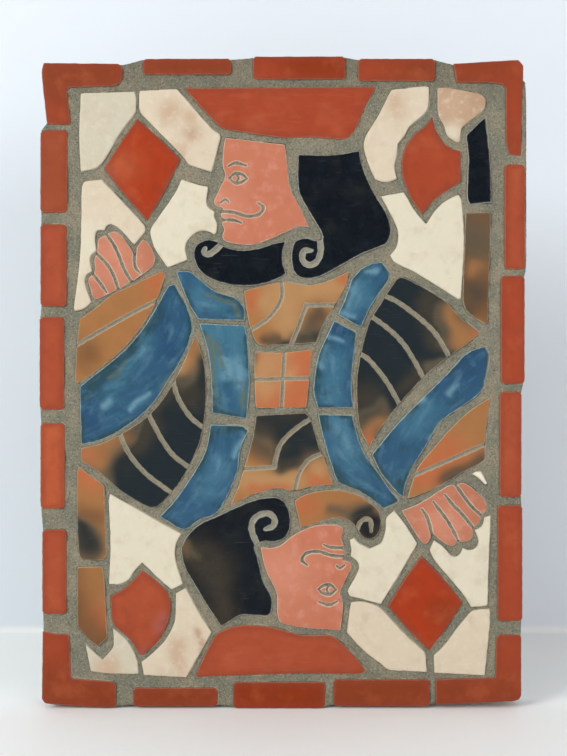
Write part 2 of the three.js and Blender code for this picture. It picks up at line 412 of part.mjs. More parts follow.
// Closed solid through a stack of equal-length rings from back to front, as flat triangles.
function stack(rings) {
  const points = [];
  const put = (ring, i) => points.push(ring.loop[i][0], -ring.depth, ring.loop[i][1]);
  const cap = (ring, flip) => {
    const contour = ring.loop.map(([x, z]) => new THREE.Vector2(x, z));
    for (const [a, b, c] of THREE.ShapeUtils.triangulateShape(contour, [])) {
      for (const i of flip ? [a, c, b] : [a, b, c]) put(ring, i);
    }
  };
  cap(rings[0], true);
  cap(rings[rings.length - 1], false);
  for (let r = 0; r + 1 < rings.length; r++) {
    const [back, front] = [rings[r], rings[r + 1]];
    const n = back.loop.length;
    for (let i = 0; i < n; i++) {
      const j = (i + 1) % n;
      put(back, i); put(back, j); put(front, j);
      put(back, i); put(front, j); put(front, i);
    }
  }
  const geometry = new THREE.BufferGeometry();
  geometry.setAttribute('position', new THREE.Float32BufferAttribute(points, 3));
  return geometry;
}

function prism(loop, from, to) {
  return stack([{ loop, depth: from }, { loop, depth: to }]);
}

// A tile: straight sides up to the worn edge, then a narrow slope to the face.
function tileSolid(loop, from, edge = EDGE_ROUND) {
  return stack([
    { loop, depth: from },
    { loop, depth: PANEL_DEPTH - edge },
    { loop: inset(loop, edge), depth: PANEL_DEPTH },
  ]);
}

function toManifold(geometry) {
  const bare = geometry.clone();
  bare.deleteAttribute('normal');
  const merged = mergeVertices(bare, 1e-5);
  const mesh = new wasm.Mesh({
    numProp: 3,
    vertProperties: new Float32Array(merged.attributes.position.array),
    triVerts: new Uint32Array(merged.index.array),
  });
  return new wasm.Manifold(mesh);
}

function toGeometry(solid) {
  const mesh = solid.getMesh();
  const geometry = new THREE.BufferGeometry();
  geometry.setAttribute('position', new THREE.Float32BufferAttribute(mesh.vertProperties, 3));
  geometry.setIndex(new THREE.Uint32BufferAttribute(mesh.triVerts, 1));
  return geometry.toNonIndexed();
}

// Outline of a scored line of constant width; ends that reach the tile's edge are run out past it.
function scoreLoop({ path, open = 0, width = SCORE_WIDTH }) {
  const line = path.map((p) => [...p]);
  const runOut = (end, next) => {
    const [dx, dz] = [line[end][0] - line[next][0], line[end][1] - line[next][1]];
    const k = RUN_OUT / Math.hypot(dx, dz);
    line[end] = [line[end][0] + dx * k, line[end][1] + dz * k];
  };
  if (open === 1 || open === 2) runOut(0, 1);
  if (open === 2 || open === 3) runOut(line.length - 1, line.length - 2);
  const sides = [[], []];
  line.forEach(([x, z], i) => {
    const before = line[Math.max(i - 1, 0)];
    const after = line[Math.min(i + 1, line.length - 1)];
    const unit = ([ax, az], [bx, bz]) => {
      const length = Math.hypot(bx - ax, bz - az) || 1;
      return [(bx - ax) / length, (bz - az) / length];
    };
    const a = i ? unit(before, line[i]) : unit(line[i], after);
    const b = i + 1 < line.length ? unit(line[i], after) : a;
    const scale = width / 2 / Math.max(0.5, 1 + a[0] * b[0] + a[1] * b[1]);
    const [nx, nz] = [-(a[1] + b[1]) * scale, (a[0] + b[0]) * scale];
    sides[0].push([x + nx, z + nz]);
    sides[1].push([x - nx, z - nz]);
  });
  const loop = [...sides[0], ...sides[1].reverse()];
  return signedArea(loop) > 0 ? loop : loop.reverse();
}

// Four-sided brick with clipped corners.
function brickLoop([x1, x2, z1, z2]) {
  const c = BRICK_CORNER;
  return [[x1 + c, z1], [x2 - c, z1], [x2, z1 + c], [x2, z2 - c], [x2 - c, z2], [x1 + c, z2],
    [x1, z2 - c], [x1, z1 + c]];
}

// Pocket of a border tile: its side on the edge of the slab is open, but for a side that the
// mortar stands proud of.
function openOutward(loop, name) {
  const closed = PROUD_BESIDE.includes(name);
  return loop.map(([x, z]) => [
    Math.abs(x) > 172 && !closed ? x + Math.sign(x) * BORDER_OVERHANG : x,
    Math.abs(z) > 231 ? z + Math.sign(z) * BORDER_OVERHANG : z,
  ]);
}

const panel = new THREE.Group();
panel.name = 'mosaic_panel';

function add(name, geometry, finish) {
  geometry.computeVertexNormals();
  const { color, roughness } = FINISHES[finish];
  const material = new THREE.MeshStandardMaterial({ color, roughness, metalness: 0 });
  const mesh = new THREE.Mesh(geometry, material);
  mesh.name = name;
  panel.add(mesh);
}

const tileRoot = POCKET_FLOOR + SETTING_GAP;
const groutLevel = PANEL_DEPTH - GROUT_RECESS;
let slab = toManifold(prism(loopOf(SLAB_EDGE.map(onPanel)), 0, groutLevel));
const pocket = (loop) => {
  slab = slab.subtract(toManifold(prism(inset(loop, -SETTING_GAP), POCKET_FLOOR, PANEL_DEPTH + 1)));
};

const border = { ...BORDER_CORNERS };
for (const [name, sides] of Object.entries(BORDER_BRICKS)) border[name] = brickLoop(sides);
for (const [name, corners] of Object.entries(border)) {
  const loop = loopOf(corners);
  add(`border_${name}`, tileSolid(loop.map(onPanel), tileRoot), 'terracotta');
  pocket(loop.map(onPanel));
  pocket(openOutward(loop, name).map(onPanel));
}

for (const [name, { finish, outline, lines = [], fused, edge }] of Object.entries(TILES)) {
  const loop = loopOf(outline.map(withFace).map(onPanel));
  if (fused) {
    slab = slab.add(toManifold(tileSolid(loop, groutLevel - FUSED_ROOT, edge)));
    continue;
  }
  let solid = toManifold(tileSolid(loop, tileRoot));
  for (const line of lines) {
    const cut = scoreLoop({ ...line, path: line.path.map(withFace).map(onPanel) });
    solid = solid.subtract(toManifold(prism(cut, PANEL_DEPTH - SCORE_DEPTH, PANEL_DEPTH + 1)));
  }
  add(name, toGeometry(solid), finish);
  pocket(loop);
}

add('mortar_bed', toGeometry(slab), 'mortar');

export default panel;
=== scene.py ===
# Hand-made ceramic mosaic panel: cut and fired tiles with worn edges, scored lines and painted
# slips, bedded in a slab of sandy mortar.
#
# Lengths are millimetres until a mesh is made: x to the viewer's right, z up, and depth forward
# from the back of the slab. A tile is an outline in (x, z) and a drop below the face at each point.
import json
import math

import bpy
import numpy as np
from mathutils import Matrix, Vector
from mathutils.geometry import delaunay_2d_cdt


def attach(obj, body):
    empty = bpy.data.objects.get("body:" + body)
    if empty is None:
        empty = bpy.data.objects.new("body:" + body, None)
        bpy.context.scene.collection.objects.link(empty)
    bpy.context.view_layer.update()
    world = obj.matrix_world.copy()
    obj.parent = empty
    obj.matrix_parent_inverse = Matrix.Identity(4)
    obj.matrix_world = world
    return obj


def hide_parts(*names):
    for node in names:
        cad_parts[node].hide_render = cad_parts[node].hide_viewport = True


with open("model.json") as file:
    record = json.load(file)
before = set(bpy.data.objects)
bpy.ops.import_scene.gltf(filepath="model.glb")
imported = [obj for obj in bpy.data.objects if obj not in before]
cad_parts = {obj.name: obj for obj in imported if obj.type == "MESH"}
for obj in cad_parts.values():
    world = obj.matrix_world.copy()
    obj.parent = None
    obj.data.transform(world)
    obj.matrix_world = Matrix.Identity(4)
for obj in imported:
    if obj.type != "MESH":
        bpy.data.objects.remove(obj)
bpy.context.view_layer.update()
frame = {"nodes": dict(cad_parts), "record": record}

# Depths of the slab and its tiles, and how near two depths are that count as one.
FACE = 25.0
GROUT = 23.5
SEAT = 14.0
TILE_BACK = 14.3
SMALL_TILE_BACK = 20.5
EDGE_LEVEL = 23.7
SLIVER_LEVEL = 24.4
SAME_LEVEL = 0.01

# Steps of the net of points: along a tile's outline, over its face, over the joints, along the
# slab's outline and over its back; then the rings inside a tile's edge.
OUTLINE_STEP = 0.95
GRID_STEP = 1.35
JOINT_STEP = 1.0
SLAB_STEP = 1.4
BACK_STEP = 4.4
EDGE_INSETS = (0.12, 0.36, 0.75, 1.3)
# A point of a ring or of a row beside a scored line is kept where it lies at this share of its
# distance or more. Rows and grid keep this far inside the last ring; points of rows this close are
# made one.
RING_SHARE, ROW_SHARE = 0.9, 0.93
ROW_MARGIN, GRID_MARGIN = 0.35, 0.6
ONE_POINT = 0.28
# Height of a row of points over its step, where each row is shifted by half a step.
ROW_HEIGHT = 0.866

# Bends of an outline. One that turns by more than TIGHT_BEND degrees has a short tangent.
TIGHT_BEND = 30
TIGHT_TANGENT = 6.0
LONGEST_TANGENT = 90.0
# Step at which an outline is blurred, and how far from a sharp corner it is blurred less.
FINE_STEP = 0.3
CORNER_REACH = 2.4
# Shortest and longest waves of a hand-cut edge, slow and quick, and how many are added up.
SLOW_WAVES, QUICK_WAVES = (9, 45), (2.5, 6)
WAVE_COUNT = 9

# Half the width and height that the net of points over the joints fills, and that over the back.
NET_X, NET_Z = 182, 242
BACK_X, BACK_Z = 176, 236

# Distances beyond these aren't told apart: on a tile, and from a joint to the tiles beside it.
FAR = 9.0
NEAR = 6
# Distances worked out at a time, to keep the arrays small.
BATCH = 400_000

# Scored lines: width and depth, the rounded lip and the length of a tapered end. The rows of
# points beside a line are told from its edge, outward, and the grid keeps clear of them.
SCORE_WIDTH = 2.6
CURL_WIDTH = 3.6
SCORE_DEPTH = 1.3
SCORE_LIP = 0.62
SCORE_TAPER = 6
SCORE_ROWS = (-0.75, -0.3, 0.0, 0.3, 0.7, 1.25)
SCORE_CLEAR = 1.9

# Worn edges: the radius of a tile's edge and of the slab's, and the slack round a tile.
EDGE_RADIUS = 1.0
SLAB_RADIUS = 1.6
SLACK = 0.07


# ---------------------------------------------------------------- outlines

def solid_of(node):
    """Corners (mm) and triangles of a CAD solid, with equal corners made one."""
    mesh = frame["nodes"][node].data
    corners = np.empty(len(mesh.vertices) * 3)
    mesh.vertices.foreach_get("co", corners)
    loops = np.empty(len(mesh.loops), dtype=np.int64)
    mesh.loops.foreach_get("vertex_index", loops)
    corners = np.round(corners.reshape(-1, 3) * 1000, 3)
    unique, index = np.unique(corners, axis=0, return_inverse=True)
    return unique, index.reshape(-1)[loops].reshape(-1, 3)


def open_edges(triangles):
    """Directed edges of a set of triangles whose reverse isn't an edge of the set."""
    edges = np.concatenate([triangles[:, [0, 1]], triangles[:, [1, 2]], triangles[:, [2, 0]]])
    size = int(edges.max()) + 1
    single = ~np.isin(edges[:, 0] * size + edges[:, 1], edges[:, 1] * size + edges[:, 0])
    return edges[single]


def chains(edges):
    """Directed edges joined end to end: the numbers of the points of each closed ring, in order."""
    following, found = dict(edges.tolist()), []
    while following:
        at, chain = next(iter(following)), []
        while at in following:
            chain.append(at)
            at = following.pop(at)
        found.append(np.array(chain))
    return found


def closed_outlines(corners, edges):
    """The closed outlines (x, z) that directed edges join into, each anticlockwise."""
    outlines = [corners[chain][:, [0, 2]] for chain in chains(edges)]
    return [outline if area(outline) > 0 else outline[::-1] for outline in outlines]


def area(outline):
    """Signed area by the sum of cross products of neighbouring corners."""
    x, z = outline.T
    return 0.5 * float(np.sum(x * np.roll(z, -1) - np.roll(x, -1) * z))


def back_outline(node, level):
    """The outline of a solid: the border of its flat back, at a level of depth."""
    corners, triangles = solid_of(node)
    back = np.all(np.abs(-corners[triangles][:, :, 1] - level) < SAME_LEVEL, axis=1)
    return closed_outlines(corners, open_edges(triangles[back]))[0]


def small_tile_outlines(level):
    """Outlines of the small ground tiles that are one solid with the slab: the edges at the level
    of the worn edge that belong to the slope above it."""
    corners, triangles = solid_of("mortar_bed")
    depth = -corners[triangles][:, :, 1]
    at = np.abs(depth - level) < SAME_LEVEL
    slope = (at.sum(axis=1) == 2) & (depth.max(axis=1) > level + 0.1)
    rolled, both = (np.stack([np.roll(rows, -k, axis=1) for k in range(3)], axis=1)[slope]
                    for rows in (triangles, at))
    return closed_outlines(corners, rolled[both[..., 0] & both[..., 1]][:, :2])


def blurred(values, steps):
    """Gaussian blur of values round a closed outline, made in the frequency domain."""
    wave = np.fft.rfftfreq(len(values))
    gain = np.exp(-2 * (math.pi * steps * wave) ** 2)
    return np.fft.irfft(np.fft.rfft(values, axis=0) * gain[:, None], n=len(values), axis=0)


def stepped(line, step, least, closed):
    """Points at equal steps along a polyline, at least so many, and the distance travelled at each.
    A closed one ends where it starts, and that point is given once."""
    travelled = np.concatenate([[0], np.cumsum(np.hypot(*np.diff(line, axis=0).T))])
    count = max(least, round(travelled[-1] / step))
    at = np.linspace(0, travelled[-1], count, endpoint=not closed)
    return np.stack([np.interp(at, travelled, line[:, k]) for k in (0, 1)], axis=1), at


def evenly(outline, step):
    """Points at equal steps along a closed outline, and the distance travelled at each."""
    return stepped(np.vstack([outline, outline[:1]]), step, 12, True)


def around(travelled, length, rng, waves):
    """Noise round an outline: cosines of whole wave numbers with random phases, within -1 and 1.
    waves holds the shortest and the longest wave in mm."""
    lowest, highest = max(1, round(length / waves[1])), max(2, round(length / waves[0]))
    numbers = rng.integers(lowest, highest + 1, WAVE_COUNT)
    phases = rng.uniform(0, 2 * math.pi, WAVE_COUNT)
    wave_at = 2 * math.pi * travelled[:, None] * numbers / length + phases
    return np.cos(wave_at).sum(axis=1) / (0.5 * WAVE_COUNT)


def inward(outline):
    """Unit normals of an anticlockwise outline, to its inside."""
    along = np.roll(outline, -1, axis=0) - np.roll(outline, 1, axis=0)
    along /= np.hypot(*along.T)[:, None]
    return np.stack([-along[:, 1], along[:, 0]], axis=1)


def turns(outline):
    """The angle turned at each corner, positive where an anticlockwise outline bulges."""
    before, after = outline - np.roll(outline, 1, axis=0), np.roll(outline, -1, axis=0) - outline
    cross = before[:, 0] * after[:, 1] - before[:, 1] * after[:, 0]
    return np.arctan2(cross, (before * after).sum(axis=1))


def drawn(outline, sharp):
    """The outline with its bends drawn as curves: a cubic Hermite piece for each side. At a bend
    its tangent halves the angle and is no longer than about the shorter side, or than a few mm
    where the bend is tight; at a sharp corner it lies along the side."""
    side = np.roll(outline, -1, axis=0) - outline
    length = np.hypot(*side.T)
    along = side / length[:, None]
    before = np.roll(along, 1, axis=0)
    tight = np.abs(turns(outline)) > math.radians(TIGHT_BEND)
    reach = np.where(tight, TIGHT_TANGENT, LONGEST_TANGENT)
    leaving = np.minimum(np.minimum(length, 1.3 * np.roll(length, 1)), reach)
    arriving = np.minimum(np.minimum(length, 1.3 * np.roll(length, -1)), np.roll(reach, -1))
    tangent = before + along
    tangent /= np.maximum(np.hypot(*tangent.T), 1e-6)[:, None]
    after = np.roll(tangent, -1, axis=0)
    leave = np.where(sharp[:, None], side, tangent * leaving[:, None])
    arrive = np.where(np.roll(sharp, -1)[:, None], side, after * arriving[:, None])
    t = np.linspace(0, 1, 10, endpoint=False)[:, None, None]
    rise = t * t * (3 - 2 * t)
    curve = ((1 - rise) * outline + rise * (outline + side)
             + t * (1 - t) ** 2 * leave - t * t * (1 - t) * arrive)
    return curve.transpose(1, 0, 2).reshape(-1, 2)


def hand_cut(outline, rng, soft, bends, wander=0.22):
    """The outline as a hand cuts it: bends of less than so many degrees, bulging and hollow, are
    drawn as curves, then all is blurred by soft, sharp corners only by a third of it, and the edge
    wanders inward by up to a fraction of a mm. It stays inside the box of the outline."""
    turn = np.degrees(turns(outline))
    sharp = (turn > bends[0]) | (turn < -bends[1])
    fine, travelled = evenly(drawn(outline, sharp), FINE_STEP)
    corners = outline[sharp]
    keep = np.zeros(len(fine))
    if len(corners):
        gap = np.hypot(*(fine[:, None] - corners[None]).transpose(2, 0, 1)).min(axis=1)
        keep = np.exp(-((gap / CORNER_REACH) ** 2))
    step = travelled[1]
    crisp, blunt = blurred(fine, soft / 3 / step), blurred(fine, soft / step)
    shape = keep[:, None] * crisp + (1 - keep)[:, None] * blunt
    length = travelled[-1] + step
    slow, quick = (around(travelled, length, rng, waves) for waves in (SLOW_WAVES, QUICK_WAVES))
    noise = 0.7 * slow + 0.3 * quick
    shape = shape + inward(shape) * (wander * (0.5 + 0.5 * np.clip(noise, -1, 1)))[:, None]
    shape = np.clip(shape, outline.min(axis=0) + 0.02, outline.max(axis=0) - 0.02)
    return evenly(shape, OUTLINE_STEP)[0]


# ---------------------------------------------------------------- distances and noise

def nearest(points, line, closed=False):
    """Distance from each point to a polyline, with the distance along it of the nearest place and
    the side of it that the point lies on (positive to the left)."""
    ends = np.vstack([line, line[:1]]) if closed else np.asarray(line, dtype=float)
    (x0, z0), (dx, dz) = ends[:-1].T.astype(np.float32), np.diff(ends, axis=0).T.astype(np.float32)
    length = np.hypot(dx, dz)
    travelled = np.concatenate([[0], np.cumsum(length)[:-1]])
    best, along, side = [], [], []
    for part in np.array_split(points.astype(np.float32), len(points) * len(x0) // BATCH + 1):
        ox, oz = part[:, :1] - x0, part[:, 1:] - z0
        t = np.clip((ox * dx + oz * dz) / length ** 2, 0, 1)
        far = (ox - t * dx) ** 2 + (oz - t * dz) ** 2
        rows, pick = np.arange(len(part)), far.argmin(axis=1)
        best.append(np.sqrt(far[rows, pick]))
        along.append(travelled[pick] + t[rows, pick] * length[pick])
        side.append(np.sign(dx[pick] * oz[rows, pick] - dz[pick] * ox[rows, pick]))
    return np.concatenate(best), np.concatenate(along), np.concatenate(side)


def within(points, outline):
    """Whether each point is inside a closed outline: an odd number of sides lie to its right."""
    x1, z1 = outline.T.astype(np.float32)
    x2, z2 = np.roll(outline, -1, axis=0).T.astype(np.float32)
    slope = (x2 - x1) / np.where(z2 == z1, 1e-6, z2 - z1)
    inside = []
    for part in np.array_split(points.astype(np.float32), len(points) * len(outline) // BATCH + 1):
        x, z = part[:, :1], part[:, 1:]
        crossed = ((z1 > z) != (z2 > z)) & (x < slope * (z - z1) + x1)
        inside.append(np.count_nonzero(crossed, axis=1) % 2 == 1)
    return np.concatenate(inside)


def swell(points, rng, wave, count=10):
    """Smooth random field over the plane, about -1 to 1: a sum of plane cosine waves of about one
    wavelength in every direction."""
    angle = rng.uniform(0, 2 * math.pi, count)
    number = 2 * math.pi / (wave * rng.uniform(0.7, 1.6, count))
    phase = rng.uniform(0, 2 * math.pi, count)
    across, up = points[:, :1] * np.cos(angle) * number, points[:, 1:] * np.sin(angle) * number
    return np.cos(across + up + phase).sum(axis=1) / (0.5 * count)


def eased(values):
    """Smoothstep of values clipped to 0 and 1."""
    t = np.clip(values, 0, 1)
    return t * t * (3 - 2 * t)


def rounded(distance, radius):
    """Drop of a quarter-round edge: radius - sqrt(radius^2 - (radius - distance)^2)."""
    short = np.clip(radius - distance, 0, radius)
    return radius - np.sqrt(np.maximum(radius ** 2 - short ** 2, 0))


def smooth_path(path, step=0.7):
    """Catmull-Rom curve through the points of a path, at equal steps."""
    p = np.asarray(path, dtype=float)
    p = np.vstack([2 * p[0] - p[1], p, 2 * p[-1] - p[-2]])
    t = np.linspace(0, 1, 14, endpoint=False)[:, None, None]
    a, b, c, d = p[:-3], p[1:-2], p[2:-1], p[3:]
    curve = 0.5 * (2 * b + (c - a) * t + (2 * a - 5 * b + 4 * c - d) * t ** 2
                   + (3 * b - a - 3 * c + d) * t ** 3)
    curve = np.vstack([curve.transpose(1, 0, 2).reshape(-1, 2), p[-2:-1]])
    return stepped(curve, step, 3, False)[0]


def triangulated(points, edges, outline):
    """Constrained Delaunay triangles inside an outline, anticlockwise, with the points used."""
    places = [Vector(place) for place in points.tolist()]
    found = delaunay_2d_cdt(places, edges.tolist(), [], 1, 1e-6, False)
    flat = np.array([tuple(v) for v in found[0]])
    triangles = np.array(found[2], dtype=np.int64)
    a, b, c = (flat[triangles[:, k]] for k in range(3))
    turn = (b[:, 0] - a[:, 0]) * (c[:, 1] - a[:, 1]) - (b[:, 1] - a[:, 1]) * (c[:, 0] - a[:, 0])
    triangles[turn < 0] = triangles[turn < 0][:, ::-1]
    inner = within(flat[triangles].mean(axis=1), outline)
    return flat, triangles[inner & (np.abs(turn) > 1e-9)]


def loose_grid(columns, rows, outline, rng, stir, shift=0.0):
    """The points of a grid that are inside an outline, each stirred by up to so many mm, where
    every second row is shifted."""
    x, z = np.meshgrid(columns, rows)
    x = x + (np.arange(len(rows)) % 2 * shift)[:, None]
    grid = np.stack([x.ravel(), z.ravel()], axis=1) + rng.uniform(-stir, stir, (x.size, 2))
    return grid[within(grid, outline)]


def wall(edges, top, foot):
    """Two triangles from each edge of a layer of points down to the same edge of another, where top
    and foot are the numbers of the points in each layer."""
    (a, b), (c, d) = top[edges].T, foot[edges].T
    return np.concatenate([np.stack([a, c, d], axis=1), np.stack([a, d, b], axis=1)])


def matched(points, ring):
    """The number of the nearest point of a ring to each point."""
    return np.hypot(*(ring[None] - points[:, None]).transpose(2, 0, 1)).argmin(axis=1)


def ring_edges(count, first=0):
    """Edges of a closed ring of numbered points."""
    at = np.arange(count)
    return np.stack([at, (at + 1) % count], axis=1) + first


# ---------------------------------------------------------------- scored lines

# Both faces look to -X. A third of the height each for forehead, nose, and lips with chin.
FACE_FRONT, FACE_TOP, FACE_HEIGHT = -44.0, 181.0, 78.0


def on_face(back, down):
    """A place so many mm behind the front of the face, and a share of its height down."""
    return (FACE_FRONT + back, FACE_TOP - down * FACE_HEIGHT)


def turned(point):
    """The lower half of the card is the upper half turned end for end."""
    return (-0.4 - point[0], -3.5 - point[1])


FACE_LINES = [[on_face(*place) for place in line] for line in (
    [(3.5, 0.275), (9, 0.245), (17, 0.27)],
    [(4.2, 0.39), (8.5, 0.345), (14, 0.355), (17.5, 0.395)],
    [(4.2, 0.385), (8, 0.43), (13, 0.43), (17.5, 0.392)],
    [(9.6, 0.355), (11.2, 0.388), (9.4, 0.425)],
    [(-2.2, 0.622), (1.4, 0.592), (4, 0.618)],
    [(-1.6, 0.704), (8, 0.715), (17, 0.75), (26, 0.735), (29.5, 0.67), (25.5, 0.62)],
    [(-1.2, 0.784), (8, 0.79), (13.5, 0.815)],
)]

# Lines scored into a tile, as the points each runs through. A line that reaches the edge of its
# tile starts or ends just past it.
SCORED = {
    "face_upper": FACE_LINES,
    "face_lower": [[turned(p) for p in line] for line in FACE_LINES],
    "hand_upper": [
        [(-142, 81), (-135.5, 73), (-130.7, 66)],
        [(-139.6, 96.4), (-130.7, 87.2), (-125.6, 78.8), (-121.6, 67)],
        [(-132, 110.8), (-124.3, 99.4), (-117, 82), (-110.8, 72.2)],
        [(-109.8, 97), (-109.6, 85.9), (-105.7, 80)]],
    "hand_lower": [
        [(127.2, -75.4), (135.2, -86.8), (140.6, -93.5), (147.6, -99.8)],
        [(119.9, -83.8), (126, -91.5), (132.4, -98), (141.2, -108.6)],
        [(111.3, -89), (117.1, -96.7), (122.8, -104.4), (130, -117.9)],
        [(102.8, -94.4), (106.4, -99.8), (108.6, -106), (110.6, -114.4)]],
    "collar_upper": [[(-44.2, 103.2), (-50, 97.3), (-55.2, 94.2), (-58.6, 95.6), (-57.6, 98.6)]],
    "hair_upper": [[(27, 107), (28, 97), (25.2, 89), (19.5, 86.2), (14.6, 90), (15.6, 96.6),
                    (21.2, 97)]],
    "hair_lower": [[(-18.4, -122), (-22.6, -112), (-23, -105.4), (-19.6, -100.2), (-12, -97.6),
                    (-6.6, -100.8), (-7, -106.6), (-13, -109.4)]],
    "collar_lower": [[(54.2, -112.6), (56.6, -105.4), (60.4, -102), (64.8, -103), (65.4, -111.4)]],
    "cuff_left": [[(-154.6, 26), (-130.7, 40), (-110, 51.5), (-93, 60)]],
    "cuff_right": [[(97, -69.4), (117.1, -60.8), (132, -54.2), (151.6, -45.8)]],
    "sleeve_left": [
        [(-81.4, 0.8), (-78.5, -10), (-73.3, -19.6), (-66.9, -27.9), (-56.6, -35.6)],
        [(-100, -23.2), (-92.3, -38.3), (-82.5, -53.2), (-68.4, -64.8)],
        [(-121.6, -37.2), (-114.1, -53.1), (-101.9, -67.8), (-80.6, -84)]],
    "sleeve_right": [
        [(74.8, 63.6), (85, 58.9), (100, 47.8), (110.6, 38.1), (117.1, 29.1), (123.6, 17.4)],
        [(65.4, 48.2), (76.9, 40), (87.5, 30), (95.9, 17.6), (104.4, 2)],
        [(55.9, 21), (64.1, 15.6), (76.9, -0.4), (87.4, -18.6)]],
    "chest_upper": [
        [(-1.2, 75.2), (-1.2, 61.2), (-9.9, 47.7), (-24.4, 37.6)],
        [(5.6, 26), (10.9, 39.4), (17.3, 56), (18.4, 56.4), (41.5, 57)]],
    "chest_squares": [[(1.1, 23.5), (-1.1, -21.5)], [(-22.8, 1.4), (21.4, 2.6)]],
    "chest_lower": [
        [(21.8, -27), (10, -34.6), (-1, -45.4), (-5, -56), (-6.3, -63), (-8, -63.6), (-31, -64.9)],
        [(29.8, -52.8), (19.2, -58.2), (12.2, -67.8), (8.2, -82)]],
}
CURLS = ("collar_upper", "hair_upper", "hair_lower")


# ---------------------------------------------------------------- colours

def linear(*srgb):
    """A colour of 0 to 255 as shown on a screen, made linear."""
    share = np.array(srgb, dtype=float) / 255
    return np.where(share <= 0.04045, share / 12.92, ((share + 0.055) / 1.055) ** 2.4)


# Slips and glazes, as mixed.
SOOT = (12, 18, 25)
CHARCOAL = (34, 38, 38)
BLUE_SOOT = (22, 33, 38)
BROWN_SOOT = (60, 53, 42)
SMOKE = (84, 76, 60)
DARK_SMOKE = (62, 58, 48)
UMBER = (112, 76, 46)
OCHRE = (156, 106, 62)
SAND_OCHRE = (176, 134, 90)
CLAY_ORANGE = (178, 98, 60)
DARK_BRICK = (130, 54, 20)
BRICK = (156, 62, 32)
WARM_BRICK = (160, 70, 40)
ORANGE_BRICK = (172, 80, 44)
BRIGHT_BRICK = (160, 50, 8)
BURNT_BRICK = (134, 46, 4)
DULL_BRICK = (146, 66, 35)
CREAM = (213, 203, 180)
WARM_CREAM = (208, 192, 168)
DULL_CREAM = (198, 188, 166)
PALE_CREAM = (228, 218, 198)
TAN = (190, 158, 130)
DEEP_TAN = (176, 142, 114)
FLESH = (186, 112, 84)
DUSKY_FLESH = (176, 111, 84)
PALE_FLESH = (200, 132, 106)
BLUE = (40, 80, 108)
LIGHT_BLUE = (60, 106, 128)
# PALE_BLUE: a pale glaze. Its marks on the blue tiles are partly that glaze and partly painted
# highlight along their edges.
PALE_BLUE = (104, 144, 160)
TEAL = (34, 62, 66)
DEEP_BLUE = (30, 66, 100)
MOSS = (92, 100, 78)
LILAC = (160, 96, 88)

SOOTY = (SOOT, CHARCOAL, BLUE_SOOT, BROWN_SOOT)

